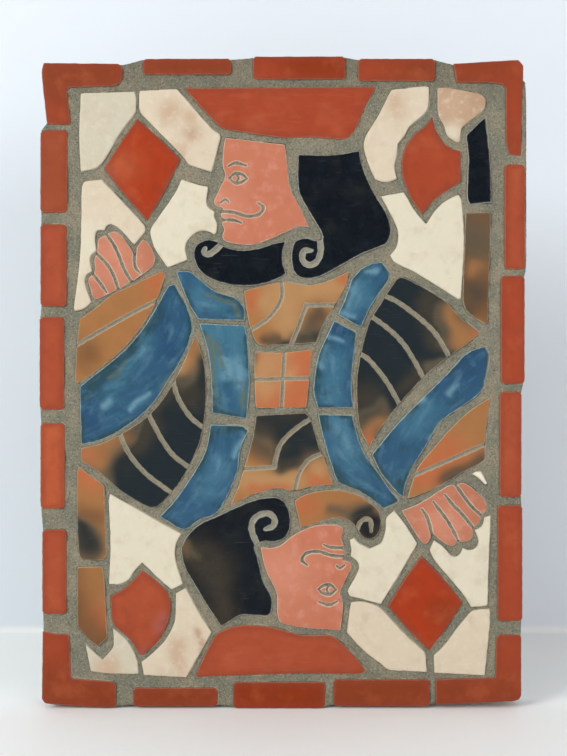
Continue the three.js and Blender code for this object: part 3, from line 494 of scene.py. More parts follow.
# Paint of each tile: its ground colour, then marks of (colour, x, z, reach in mm). A mark that is
# a brush stroke also has the x and z of its end.
PAINT = {
    "border_corner_top_left": (DARK_BRICK, [(BRICK, -176, 194, 10)]),
    "border_top_2": (BURNT_BRICK, [(BRICK, -20, 226, 14)]),
    "border_top_3": (DARK_BRICK, [(BRICK, 60, 226, 20)]),
    "border_corner_top_right": (DARK_BRICK, [(BRICK, 174, 196, 26)]),
    "border_corner_bottom_left": (DARK_BRICK, [(BRICK, -172, -190, 16)]),
    "border_corner_bottom_right": (DARK_BRICK, [(BRICK, 174, -196, 20)]),
    "diamond_upper": (BRIGHT_BRICK, [(ORANGE_BRICK, -118, 160, 9), (LILAC, -129, 156, 3)]),
    "diamond_lower": (BRIGHT_BRICK, [(BURNT_BRICK, 118, -170, 8)]),
    "petal_lower": (WARM_BRICK, [(LILAC, -86, -180, 5), (LILAC, -100, -204, 5)]),
    "hand_upper": (DUSKY_FLESH, [(PALE_FLESH, -126, 92, 14)]),
    "hand_lower": (DUSKY_FLESH, [(PALE_FLESH, 118, -104, 11)]),
    "face_upper": (FLESH, [(PALE_FLESH, -46, 128, 12)]),
    "face_lower": (FLESH, [(PALE_FLESH, 0, -140, 16)]),
    "hair_lower": (SOOT, [
        (UMBER, -74, -120, 5, -71, -127), (DARK_SMOKE, -68, -126, 3, -62, -130),
        (BROWN_SOOT, -64, -128, 10, -50, -138), (BROWN_SOOT, -50, -146, 7, -44, -174)]),
    "bar_upper_low": (UMBER, [
        (SMOKE, 140, 104, 16), (DARK_SMOKE, 129, 96, 4, 129, 78), (DARK_SMOKE, 142, 66, 8),
        (OCHRE, 142, 84, 5), (DARK_SMOKE, 134, 50, 6), (OCHRE, 145, 42, 5)]),
    "bar_lower_top": (OCHRE, [
        (CLAY_ORANGE, -149, -66, 5, -142, -76), (UMBER, -146, -98, 5, -138, -100),
        (CHARCOAL, -150, -108, 9, -144, -120)]),
    "bar_lower_low": (UMBER, [(OCHRE, -140, -140, 9, -132, -160), (CLAY_ORANGE, -128, -170, 9)]),
    "cuff_left": (OCHRE, [(CLAY_ORANGE, -92, 74, 8), (UMBER, -146, 20, 8)]),
    "cuff_right": (OCHRE, [
        (CLAY_ORANGE, 108, -62, 9, 124, -52), (CLAY_ORANGE, 102, -72, 4, 116, -68),
        (DARK_SMOKE, 120, -71, 5, 148, -60), (CHARCOAL, 124, -74, 3.5, 144, -64)]),
    "sleeve_left": (BLUE_SOOT, [
        (OCHRE, -148, -50, 11, -128, -42), (OCHRE, -138, -60, 9), (CLAY_ORANGE, -144, -54, 9),
        (OCHRE, -64, 30, 9, -69, 16), (SAND_OCHRE, -72, 16, 5, -75, 9), (DARK_SMOKE, -72, 0, 8),
        (CHARCOAL, -58, 12, 5, -62, -14), (UMBER, -116, -37, 4, -113, -42),
        (DARK_SMOKE, -111, -38, 4, -106, -33), (BROWN_SOOT, -108, -46, 6, -98, -32),
        (BROWN_SOOT, -94, -18, 4, -84, -6), (BROWN_SOOT, -66, -10, 8), (SMOKE, -130, -76, 5),
        (CHARCOAL, -116, -62, 6)]),
    "sleeve_right": (BLUE_SOOT, [
        (OCHRE, 122, 54, 7, 132, 28), (OCHRE, 134, 32, 9), (CLAY_ORANGE, 143, 34, 6),
        (DARK_SMOKE, 114, 52, 5, 119, 32), (BROWN_SOOT, 107, 60, 6, 113, 32),
        (SMOKE, 115, 13, 4, 108, 8), (BROWN_SOOT, 102, 8, 4, 90, -4), (CLAY_ORANGE, 64, -46, 7),
        (OCHRE, 73, -28, 5, 64, -38), (DARK_SMOKE, 62, -26, 7, 70, -21), (BROWN_SOOT, 62, -12, 8)]),
    "chest_upper": (OCHRE, [
        (CLAY_ORANGE, -24, 64, 4, -22, 56), (SAND_OCHRE, -12, 60, 7),
        (SAND_OCHRE, 0, 66, 10, 6, 42), (SAND_OCHRE, 20, 70, 9, 34, 70), (CLAY_ORANGE, 44, 74, 4),
        (DARK_SMOKE, 26, 49, 7, 18, 38), (CHARCOAL, 15, 33, 8, 25, 35),
        (DARK_SMOKE, -14, 32, 3, -4, 31), (CHARCOAL, -6, 28, 2.5, 5, 28)]),
    "chest_squares": (CLAY_ORANGE, [
        (SAND_OCHRE, -12, 12, 13), (SMOKE, -22, 21, 3, -21, 8), (SAND_OCHRE, -14, -2, 8),
        (SAND_OCHRE, 6, 6, 4)]),
    "chest_lower": (OCHRE, [
        (CHARCOAL, -16, -28, 12, 8, -32), (BLUE_SOOT, 2, -38, 8, 24, -46),
        (BLUE_SOOT, 8, -52, 8, -2, -56), (CHARCOAL, 16, -24, 8, 22, -34),
        (DARK_SMOKE, -24, -42, 6, -12, -52), (BROWN_SOOT, -20, -38, 7),
        (CLAY_ORANGE, -22, -78, 4, 2, -79), (SAND_OCHRE, -26, -72, 6, 8, -73),
        (CLAY_ORANGE, 24, -72, 5, 28, -77), (SAND_OCHRE, 26, -64, 5),
        (BROWN_SOOT, 0, -64, 5, 8, -61)]),
    "collar_lower": (OCHRE, [
        (CLAY_ORANGE, 14, -92, 8), (SMOKE, 36, -96, 4, 48, -97), (CHARCOAL, 50, -98, 4, 64, -95),
        (SOOT, 56, -105, 5, 69, -104), (SOOT, 64, -112, 9)]),
    # The PALE_BLUE marks of the blue tiles below are partly pale glaze and partly painted
    # highlight.
    "band_left": (BLUE, [
        (TEAL, -92, 50, 4, -112, 24), (TEAL, -112, 24, 5, -146, -8), (MOSS, -128, 4, 2, -116, 14),
        (PALE_BLUE, -110, 16, 1.6, -103, 26), (PALE_BLUE, -134, -18, 2, -127, -14),
        (PALE_BLUE, -112, -20, 1.6, -100, -8), (LIGHT_BLUE, -128, -8, 4, -100, 30),
        (DEEP_BLUE, -88, 44, 5, -84, 20), (DEEP_BLUE, -146, -24, 5, -140, -36),
        (MOSS, -88, -4, 1.4, -80, 8)]),
    "band_right": (BLUE, [
        (DEEP_BLUE, 146, 18, 10, 130, 6), (TEAL, 72, -42, 2.5, 96, -12),
        (TEAL, 84, -76, 4, 90, -82), (PALE_BLUE, 106, -14, 1.5, 90, -24),
        (PALE_BLUE, 120, -28, 1.4, 108, -44), (LIGHT_BLUE, 96, -34, 7, 104, -24),
        (PALE_BLUE, 130, -2, 2, 124, -8)]),
    "lapel_left_top": (LIGHT_BLUE, [
        (MOSS, -54, 33, 1.8, -49, -16), (MOSS, -49, 28, 1.2, -45, 12),
        (PALE_BLUE, -43, 16, 2.4, -42, 4), (PALE_BLUE, -34, 12, 4, -32, 0),
        (MOSS, -28, 0, 1.8, -28, -20), (BLUE, -41, -6, 5, -35, -20),
        (TEAL, -50, -20, 2, -44, -24)]),
    "lapel_left_low": (BLUE, [
        (TEAL, -54, -36, 2.5, -28, -36), (TEAL, -56, -42, 3, -64, -64),
        (PALE_BLUE, -30, -40, 1.6, -34, -56), (LIGHT_BLUE, -46, -60, 6, -56, -80)]),
    "lapel_right_top": (BLUE, [
        (PALE_BLUE, 48, 58, 3, 54, 72), (PALE_BLUE, 60, 84, 2, 68, 82),
        (PALE_BLUE, 43, 53, 2, 52, 48), (LIGHT_BLUE, 58, 74, 7, 56, 60)]),
    "lapel_right_mid": (BLUE, [
        (DEEP_BLUE, 38, 42, 3, 48, 34), (PALE_BLUE, 31, 26, 1.8, 29, 10),
        (PALE_BLUE, 33, 34, 1.4, 46, 30), (TEAL, 25, 8, 2, 26, -8),
        (LIGHT_BLUE, 38, 14, 6, 36, -14)]),
    "lapel_right_low": (BLUE, [
        (PALE_BLUE, 40, -34, 4, 50, -52), (LIGHT_BLUE, 42, -34, 8, 52, -62),
        (TEAL, 36, -62, 3, 50, -80), (TEAL, 28, -27, 2.5, 32, -34), (TEAL, 60, -56, 2, 74, -72)]),
    "yoke_left": (BLUE, [
        (MOSS, -56, 66, 1.6, -40, 58), (MOSS, -38, 57, 1.6, -30, 46),
        (LIGHT_BLUE, -62, 66, 6, -44, 50)]),
    "ground_foot_left": (DULL_CREAM, [(TAN, -130, -212, 7)]),
    "ground_brim_low": (WARM_CREAM, [
        (DEEP_TAN, -64, -184, 2.5, -60, -196), (TAN, -78, -196, 4, -76, -212)]),
    "ground_hand": (WARM_CREAM, [(CREAM, -140, 100, 14)]),
    "ground_brim_left": (WARM_CREAM, [
        (DEEP_TAN, -66, 184, 5), (TAN, -92, 168, 5), (TAN, -84, 200, 6), (TAN, -76, 172, 4),
        (TAN, -70, 196, 4)]),
    "ground_brim_right": (WARM_CREAM, [(TAN, 84, 206, 6)]),
    "ground_top_right": (DEEP_TAN, [(TAN, 124, 204, 9), (CREAM, 126, 184, 6)]),
}

# Tiles of one plain colour.
PLAIN = {
    DARK_BRICK: ("border_top_1", "border_bottom_1", "border_bottom_3"),
    DULL_BRICK: ("border_left_1",),
    WARM_BRICK: (
        "border_left_2", "border_left_3", "border_left_5", "border_right_1", "border_right_3",
        "hat_lower"),
    ORANGE_BRICK: ("border_left_4",),
    BURNT_BRICK: ("border_bottom_2",),
    BRICK: ("border_right_2", "border_right_4", "petal_upper", "hat_upper"),
    SOOT: ("collar_upper", "hair_upper", "bar_upper_top"),
    WARM_CREAM: ("ground_foot_right", "ground_brim_low_right"),
    DULL_CREAM: ("ground_top_left",),
    # ground_sliver is paler than the other cream tiles: painted light that makes up for the shade
    # falling on it.
    PALE_CREAM: ("ground_sliver",),
}
PAINT.update({tile: (ground, []) for ground, tiles in PLAIN.items() for tile in tiles})

# Line each brushed tile is painted along. The UV map along it has one unit for so many mm.
STROKE_UNIT = 100
BRUSHED = {
    "band_left": [(-74, 64), (-82, 34), (-108, 2), (-150, -26)],
    "band_right": [(152, 20), (120, -10), (94, -44), (86, -84)],
    "yoke_left": [(-76, 80), (-60, 60), (-30, 52)],
    "lapel_left_top": [(-45, 43), (-40, 10), (-40, -26)],
    "lapel_left_low": [(-40, -32), (-50, -70), (-80, -104)],
    "lapel_right_top": [(74, 84), (60, 64), (48, 46)],
    "lapel_right_mid": [(46, 42), (38, 10), (39, -20)],
    "lapel_right_low": [(38, -24), (46, -56), (82, -90)],
    "hat_upper": [(-74, 200), (70, 200)],
    "hat_lower": [(-66, -200), (62, -200)],
}


# How far (mm) paint drifts from where it was laid, and the length of its waves.
DRIFT, DRIFT_WAVE = 2.2, 22
# A mark weighs this much against the ground, and falls off by this rate and power.
MARK_WEIGHT, MARK_RATE, MARK_POWER = 5, 1.5, 1.3


def painted(points, tile, rng):
    """Linear colour at each point: the ground colour and the marks, weighed by 1 and by weight
    times exp(-rate (distance / reach)^power), with the places stirred so that the smoke drifts.
    Clay colours and sooty ones are averaged apart, and the share of soot leads from the first to
    the second through olive smoke."""
    ground, marks = PAINT.get(tile, (CREAM, []))
    stir = [swell(points, rng, DRIFT_WAVE), swell(points, rng, DRIFT_WAVE)]
    stirred = points + DRIFT * np.stack(stir, axis=1)
    sums = {True: np.zeros((len(points), 4)), False: np.zeros((len(points), 4))}
    sums[ground in SOOTY] += (*linear(*ground), 1)
    for tint, x, z, reach, *end in marks:
        far = nearest(stirred, np.array([(x, z), end or (x, z + 0.1)]))[0] / reach
        weight = MARK_WEIGHT * np.exp(-MARK_RATE * far ** MARK_POWER)
        sums[tint in SOOTY] += weight[:, None] * (*linear(*tint), 1)
    clay, dark = (sums[k][:, :3] / np.maximum(sums[k][:, 3:], 1e-9) for k in (False, True))
    soot = (sums[True][:, 3] / (sums[True][:, 3] + sums[False][:, 3]))[:, None]
    smoky = clay + eased(soot / 0.55) * 0.85 * (linear(*SMOKE) - clay)
    return smoky + eased((soot - 0.3) / 0.6) * (dark - smoky)


# ---------------------------------------------------------------- pieces

def new_piece(name, corners, faces, material, nodes, attributes=(), crease=50):
    """A mesh object from corners (x mm, depth mm, z mm) and triangles, riding on the panel."""
    mesh = bpy.data.meshes.new(name)
    place = np.stack([corners[:, 0], -corners[:, 1], corners[:, 2]], axis=1) / 1000
    mesh.vertices.add(len(place))
    mesh.vertices.foreach_set("co", place.ravel())
    mesh.loops.add(faces.size)
    mesh.loops.foreach_set("vertex_index", faces.ravel().astype(np.int32))
    mesh.polygons.add(len(faces))
    mesh.polygons.foreach_set("loop_start", np.arange(0, faces.size, 3, dtype=np.int32))
    mesh.polygons.foreach_set("loop_total", np.full(len(faces), 3, dtype=np.int32))
    mesh.update(calc_edges=True)
    mesh.shade_smooth()
    mesh.set_sharp_from_angle(angle=math.radians(crease))
    for label, kind, values in attributes:
        if kind == "UV":
            layer = mesh.uv_layers.new(name=label)
            layer.data.foreach_set("uv", values[faces.ravel()].astype(np.float32).ravel())
        else:
            layer = mesh.attributes.new(label, kind, "POINT")
            key = "color" if kind == "FLOAT_COLOR" else "value"
            layer.data.foreach_set(key, values.astype(np.float32).ravel())
    mesh.materials.append(material)
    piece = bpy.data.objects.new(name, mesh)
    bpy.context.scene.collection.objects.link(piece)
    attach(piece, "root")
    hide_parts(*nodes)
    return piece


def tile_piece(name, outline, lines, width, back, material, nodes, rng, lean=0.28):
    """A tile. Its face is a net of points on rings inside the outline, on rows beside each scored
    line and on a loose grid between, each point at its own drop below the face: a quarter-round
    edge of varying radius, a slow swell and lean, and the section of the scored lines."""
    count = len(outline)
    normal = inward(outline)
    box = outline.min(axis=0), outline.max(axis=0)
    paths = [smooth_path(line) for line in lines]

    def score_gap(points):
        """Distance to the nearest edge of a scored line, negative inside it. A line that ends on
        the face narrows over its last few mm."""
        gaps = [np.full(len(points), FAR)]
        for path in paths:
            far, along, _ = nearest(points, path)
            ends = within(path[[0, -1]], outline)
            length = np.hypot(*np.diff(path, axis=0).T).sum()
            left = np.minimum(along if ends[0] else FAR, length - along if ends[1] else FAR)
            share = (0.62 + 0.38 * eased(left / SCORE_TAPER)) * (0.97 + 0.07 * np.cos(along * 0.9))
            gaps.append(far - width / 2 * share)
        return np.min(gaps, axis=0)

    rings = []
    for inset in EDGE_INSETS:
        ring = outline + normal * inset
        good = within(ring, outline) & (nearest(ring, outline, True)[0] > RING_SHARE * inset)
        rings.append(ring[good])

    rows = []
    for path in paths:
        along = np.gradient(path, axis=0)
        along /= np.hypot(*along.T)[:, None]
        across = np.stack([-along[:, 1], along[:, 0]], axis=1)
        for shift in SCORE_ROWS:
            for sign in (-1, 1):
                offset = width / 2 + shift
                row = path + across * offset * sign
                rows.append(row[nearest(row, path)[0] > ROW_SHARE * offset])
        rows.append(path)
    if rows:
        rows = np.vstack(rows)
        rows = rows[within(rows, outline)]
        rows = rows[nearest(rows, outline, True)[0] > EDGE_INSETS[-1] + ROW_MARGIN]
        _, first = np.unique(np.round(rows / ONE_POINT), axis=0, return_index=True)
        rows = rows[first]

    columns = np.arange(box[0][0], box[1][0], GRID_STEP)
    levels = np.arange(box[0][1], box[1][1], GRID_STEP * math.sqrt(3) / 2)
    grid = loose_grid(columns, levels, outline, rng, 0.22, GRID_STEP / 2)
    if len(grid):
        grid = grid[nearest(grid, outline, True)[0] > EDGE_INSETS[-1] + GRID_MARGIN]
    if len(grid):
        grid = grid[score_gap(grid) > SCORE_CLEAR]

    points = np.vstack([outline, *rings, *([rows] if len(rows) else []), grid])
    flat, front = triangulated(points, ring_edges(count), outline)

    rim, travelled, _ = nearest(flat, outline, True)
    gap = score_gap(flat)
    wear = around(travelled, count * OUTLINE_STEP, rng, (6, 30))
    radius = EDGE_RADIUS * np.clip(1.0 + 0.35 * wear, 0.55, 1.45)
    middle = (box[0] + box[1]) / 2
    tilt = rng.uniform(-1, 1, 2) * lean / np.maximum((box[1] - box[0]) / 2, 12)
    drop = (lean + 0.06 + (flat - middle) @ tilt + 0.09 * swell(flat, rng, 26)
            + 0.035 * swell(flat, rng, 9) + rounded(rim, radius) + 0.16 * np.exp(-rim / 2.6))
    lip = rounded(np.clip(gap, 0, None), SCORE_LIP) - 0.12 * np.exp(-(((gap - 0.9) / 0.5) ** 2))
    floor = SCORE_DEPTH - SCORE_LIP - 0.18 * swell(flat, rng, 3.2)
    drop = drop + np.where(gap < SCORE_LIP, lip, 0) + floor * eased(-gap / 0.55)
    depth = np.minimum(FACE - drop, FACE - 0.02)

    # The side and the back: the open edges of the face carried straight back.
    edges = open_edges(front)
    start = edges[:, 0]
    under = np.full(len(flat), -1)
    under[start] = len(flat) + np.arange(len(start))
    side = wall(edges, np.arange(len(flat)), under)
    order = chains(edges)[0]
    rear_points, rear = triangulated(flat[order], ring_edges(len(order)), flat[order])
    rear = under[order][matched(rear_points, flat[order])[rear]][:, ::-1]

    rear_level = np.full(len(start), back)
    corners = np.vstack([np.column_stack([flat[:, 0], depth, flat[:, 1]]),
                         np.column_stack([flat[start, 0], rear_level, flat[start, 1]])])
    faces = np.concatenate([front, side, rear])

    def all_round(values, far=None):
        """Values of the front points, then of the back ones: the same or one value."""
        return np.concatenate([values, values[start] if far is None else np.full(len(start), far)])

    colour = painted(flat, name, rng)
    colour = np.vstack([colour, colour[start]])
    attributes = [
        ("rim", "FLOAT", all_round(np.clip(rim, 0, FAR), 0.0)),
        ("score", "FLOAT", all_round(np.clip(gap, -2, FAR), FAR)),
        ("slip", "FLOAT_COLOR", np.hstack([colour, np.ones((len(colour), 1))])),
    ]
    if name in BRUSHED:
        far, along, left = nearest(flat, smooth_path(BRUSHED[name], 2.0))
        stroke = np.stack([along, far * left], axis=1) / STROKE_UNIT
        attributes.append(("stroke", "UV", np.vstack([stroke, stroke[start]])))
    return new_piece(f"tile_{name}", corners, faces, material, nodes, attributes)


def bed_piece(outlines, material, rng):
    """The mortar slab: joints level with the worn edges of the tiles, a seat under each tile, rough
    sides and a trowelled back. The front is one net over the slab, cut by the tiles' outlines."""
    slab = evenly(back_outline("mortar_bed", 0), SLAB_STEP)[0]
    rough = around(np.arange(len(slab)) * SLAB_STEP, len(slab) * SLAB_STEP, rng, (3, 40))
    slab = slab + inward(slab) * (0.16 + 0.14 * np.clip(rough, -1, 1))[:, None]
    spread = [outline - inward(outline) * SLACK for outline in outlines]

    def beside_tiles(points, distances=True):
        """Distance to the nearest tile, where it is NEAR, and whether the point lies inside one."""
        gap, inside = np.full(len(points), FAR), np.zeros(len(points), dtype=bool)
        for outline in spread:
            low, high = outline.min(axis=0) - NEAR, outline.max(axis=0) + NEAR
            near = np.flatnonzero(np.all((points > low) & (points < high), axis=1) & ~inside)
            inside[near] = within(points[near], outline)
            near = near[~inside[near]]
            if distances and len(near):
                gap[near] = np.minimum(gap[near], nearest(points[near], outline, True)[0])
        return gap, inside

    columns = np.arange(-NET_X, NET_X, JOINT_STEP)
    levels = np.arange(-NET_Z, NET_Z, JOINT_STEP * ROW_HEIGHT)
    grid = loose_grid(columns, levels, slab, rng, 0.2, JOINT_STEP / 2)
    gap, inside = beside_tiles(grid)
    grid = grid[~inside & (gap > 0.42)]
    grid = grid[nearest(grid, slab, True)[0] > 0.5]

    rings = [slab, *spread]
    starts = np.cumsum([0] + [len(ring) for ring in rings[:-1]])
    edges = np.vstack([ring_edges(len(ring), start) for ring, start in zip(rings, starts)])
    flat, net = triangulated(np.vstack([*rings, grid]), edges, slab)
    under_tile = beside_tiles(flat[net].mean(axis=1), distances=False)[1]
    joints, seats = net[~under_tile], net[under_tile]

    gap = beside_tiles(flat)[0]
    edge = nearest(flat, slab, True)[0]
    depth = (GROUT - 0.1 + 0.22 * swell(flat, rng, 16) + 0.13 * swell(flat, rng, 5)
             + rng.uniform(-0.09, 0.09, len(flat)) - 0.22 * eased(gap / 2.5)
             - rounded(edge, SLAB_RADIUS) * 0.8)
    depth = np.minimum(depth, GROUT + 0.35)

    size = len(flat)
    joint_edges, slab_edges = open_edges(joints), open_edges(np.concatenate([joints, seats]))

    order = chains(slab_edges)[0]
    rim = flat[order]
    columns, levels = (np.arange(-half, half + 1, BACK_STEP) for half in (BACK_X, BACK_Z))
    inner = loose_grid(columns, levels, rim, rng, 1)
    inner = inner[nearest(inner, rim, True)[0] > 1.5]
    rear_points, rear = triangulated(np.vstack([rim, inner]), ring_edges(len(rim)), rim)
    at_rim = nearest(rear_points, rim, True)[0] < 1e-3
    match = np.arange(len(rear_points)) + 3 * size
    match[at_rim] = 2 * size + order[matched(rear_points[at_rim], rim)]

    layers = [np.stack([flat[:, 0], level, flat[:, 1]], axis=1)
              for level in (depth, np.full(size, SEAT), np.zeros(size))]
    trowelled = np.maximum(0.16 + 0.1 * swell(rear_points * (1, 0.3), rng, 26), 0.01)
    layers.append(np.stack([rear_points[:, 0], trowelled, rear_points[:, 1]], axis=1))
    corners = np.vstack(layers)
    front, seat, foot = (np.arange(size) + k * size for k in range(3))
    faces = np.concatenate([joints, seats + size, wall(joint_edges, front, seat),
                            wall(slab_edges, seat, foot), match[rear][:, ::-1]])
    used, faces = np.unique(faces, return_inverse=True)
    tile_gap = np.concatenate([gap, np.full(2 * size + len(rear_points), 4.0)])
    return new_piece("mortar", corners[used], faces.reshape(-1, 3), material, ["mortar_bed"],
                     [("joint", "FLOAT", tile_gap[used])], crease=58)


# ---------------------------------------------------------------- finishes

class Field:
    """A number that changes over a surface. An expression on it adds Math nodes."""

    def __init__(self, finish, socket):
        self.finish, self.socket = finish, socket

    def math(self, operation, first, second=0.0):
        """The result of a Math node on two numbers or fields."""
        node = self.finish.node("Math", {"operation": operation}, {0: first, 1: second})
        return Field(self.finish, node.outputs[0])

    def __add__(self, other):
        return self.math("ADD", self, other)

    __radd__ = __add__

    def __mul__(self, other):
        return self.math("MULTIPLY", self, other)

    __rmul__ = __mul__

    def __sub__(self, other):
        return self.math("SUBTRACT", self, other)

    def __rsub__(self, other):
        return self.math("SUBTRACT", other, self)

    def least(self, other):
        """The lesser of two fields."""
        return self.math("MINIMUM", self, other)

    def between(self, low, high):
        """0 at low, 1 at high and a smooth step from one to the other."""
        node = self.finish.node("MapRange", {"interpolation_type": "SMOOTHSTEP"},
                                {"Value": self, "From Min": low, "From Max": high})
        return Field(self.finish, node.outputs["Result"])


class Finish:
    """The nodes of one finish. Patterns are laid out in mm of the piece's own coordinates."""

    def __init__(self, name):
        self.material = bpy.data.materials.new(name)
        self.material.use_nodes = True
        self.tree = self.material.node_tree
        self.tree.nodes.clear()
        sockets = {0: self.node("TexCoord").outputs["Object"], "Scale": 1000.0}
        self.place = self.node("VectorMath", {"operation": "SCALE"}, sockets).outputs[0]

    def node(self, kind, settings=None, sockets=None):
        """A new node: its settings are set first, then a value or a link on each socket."""
        made = self.tree.nodes.new("ShaderNode" + kind)
        for key, value in (settings or {}).items():
            setattr(made, key, value)
        for key, value in (sockets or {}).items():
            value = value.socket if isinstance(value, Field) else value
            if isinstance(value, bpy.types.NodeSocket):
                self.tree.links.new(value, made.inputs[key])
            else:
                made.inputs[key].default_value = value
        return made

    def attribute(self, name, output="Fac"):
        """A number or colour kept on the mesh."""
        socket = self.node("Attribute", {"attribute_name": name}).outputs[output]
        return Field(self, socket) if output == "Fac" else socket

    def stretched(self, turn, scale):
        """The place turned about the depth axis by some degrees, then scaled along each axis."""
        sockets = {"Vector": self.place, "Rotation": (0, math.radians(turn), 0), "Scale": scale}
        return self.node("Mapping", {"vector_type": "POINT"}, sockets).outputs[0]

    def noise(self, size, detail=2.0, vector=None, roughness=0.55):
        """Noise of 0 to 1 with lumps of about size mm."""
        sockets = {"Vector": vector or self.place, "Scale": 1 / size, "Detail": detail,
                   "Roughness": roughness}
        return Field(self, self.node("TexNoise", None, sockets).outputs["Fac"])

    def brushed(self, length, width):
        """Noise drawn out along the brush: lumps of about length by width mm."""
        stroke = self.node("UVMap", {"uv_map": "stroke"}).outputs[0]
        scale = (STROKE_UNIT / length, STROKE_UNIT / width, 1)
        run = self.node("Mapping", None, {"Vector": stroke, "Scale": scale}).outputs[0]
        return self.noise(1.0, 4, run, 0.5)

    def grains(self, size):
        """Cells of about size mm: the distance to the middle of each, and two random numbers."""
        sockets = {"Vector": self.place, "Scale": 1 / size}
        cells = self.node("TexVoronoi", {"feature": "F1"}, sockets)
        parts = self.node("SeparateColor", None, {0: cells.outputs["Color"]})
        found = cells.outputs["Distance"], parts.outputs[0], parts.outputs[1]
        return tuple(Field(self, socket) for socket in found)

    def mix(self, first, second, share):
        """From the first colour to the second by a share. Sockets 6, 7 and 2 are the colours."""
        node = self.node("Mix", {"data_type": "RGBA"}, {0: share, 6: first, 7: second})
        return node.outputs[2]

    def dimmed(self, colour, factor):
        """The colour times a factor."""
        sockets = {0: colour, "Scale": factor}
        return self.node("VectorMath", {"operation": "SCALE"}, sockets).outputs[0]

    def up(self):
        """The height in mm."""
        return Field(self, self.node("SeparateXYZ", None, {0: self.place}).outputs[2])

    def surface(self, colour, roughness, height, depth, shine):
        """Ends the finish: a principled surface with a bump of height times depth mm."""
        bump = self.node("Bump", None, {"Height": height, "Distance": depth / 1000})
        shader = self.node("BsdfPrincipled", None, {
            "Base Color": colour, "Roughness": roughness, "Normal": bump.outputs[0],
            "Specular IOR Level": shine})
        self.node("OutputMaterial", None, {"Surface": shader.outputs[0]})
        return self.material


def rgba(*srgb):
    """A colour of 0 to 255 as a linear colour with full cover."""
    return (*linear(*srgb), 1.0)


def sand(finish):
    """Colour and height of the mortar: grey-green paste with dark, tan and pale grains."""
    distance, pick, tone = finish.grains(1.0)
    patch = finish.noise(24, 2).between(0.35, 0.7)
    colour = finish.mix(rgba(120, 118, 102), rgba(140, 131, 111), patch)
    dark = pick.between(0.6, 0.85) * distance.between(0.8, 0.3)
    colour = finish.mix(colour, rgba(70, 68, 58), dark * 0.6)
    pale = tone.between(0.7, 0.92) * distance.between(0.7, 0.3)
    colour = finish.mix(colour, rgba(182, 175, 156), pale * 0.4)
    colour = finish.dimmed(colour, 0.75 + 0.44 * finish.noise(2.1, 3))
    height = finish.noise(0.8, 3) * 0.7 + distance.between(0.7, 0.1) * 0.3
    return colour, height


def mortar_finish():
    """Sandy mortar. Beside a tile it is a pale smear here and a painted shadow line there, by a
    slow noise, and a painted shade darkens it by a fifth toward the top edge of the panel."""
    finish = Finish("mortar")
    colour, height = sand(finish)
    gap = finish.attribute("joint") + (finish.noise(1.5, 1) - 0.5) * 0.5
    beside, drift = 1 - gap.between(0.3, 1.0), finish.noise(15, 2)
    colour = finish.mix(colour, rgba(172, 168, 152), beside * drift.between(0.46, 0.6) * 0.6)
    # Painted shadow: a dark line in the mortar beside some tiles, as if cast by their proud edges.
    colour = finish.mix(colour, rgba(72, 68, 58), beside * (1 - drift.between(0.4, 0.52)) * 0.6)
    # Painted shade: the mortar darkens by a fifth toward the top edge of the panel.
    colour = finish.dimmed(colour, 1 - 0.2 * finish.up().between(200, 232))
    return finish.surface(colour, 0.95, height, 0.55, 0.2)


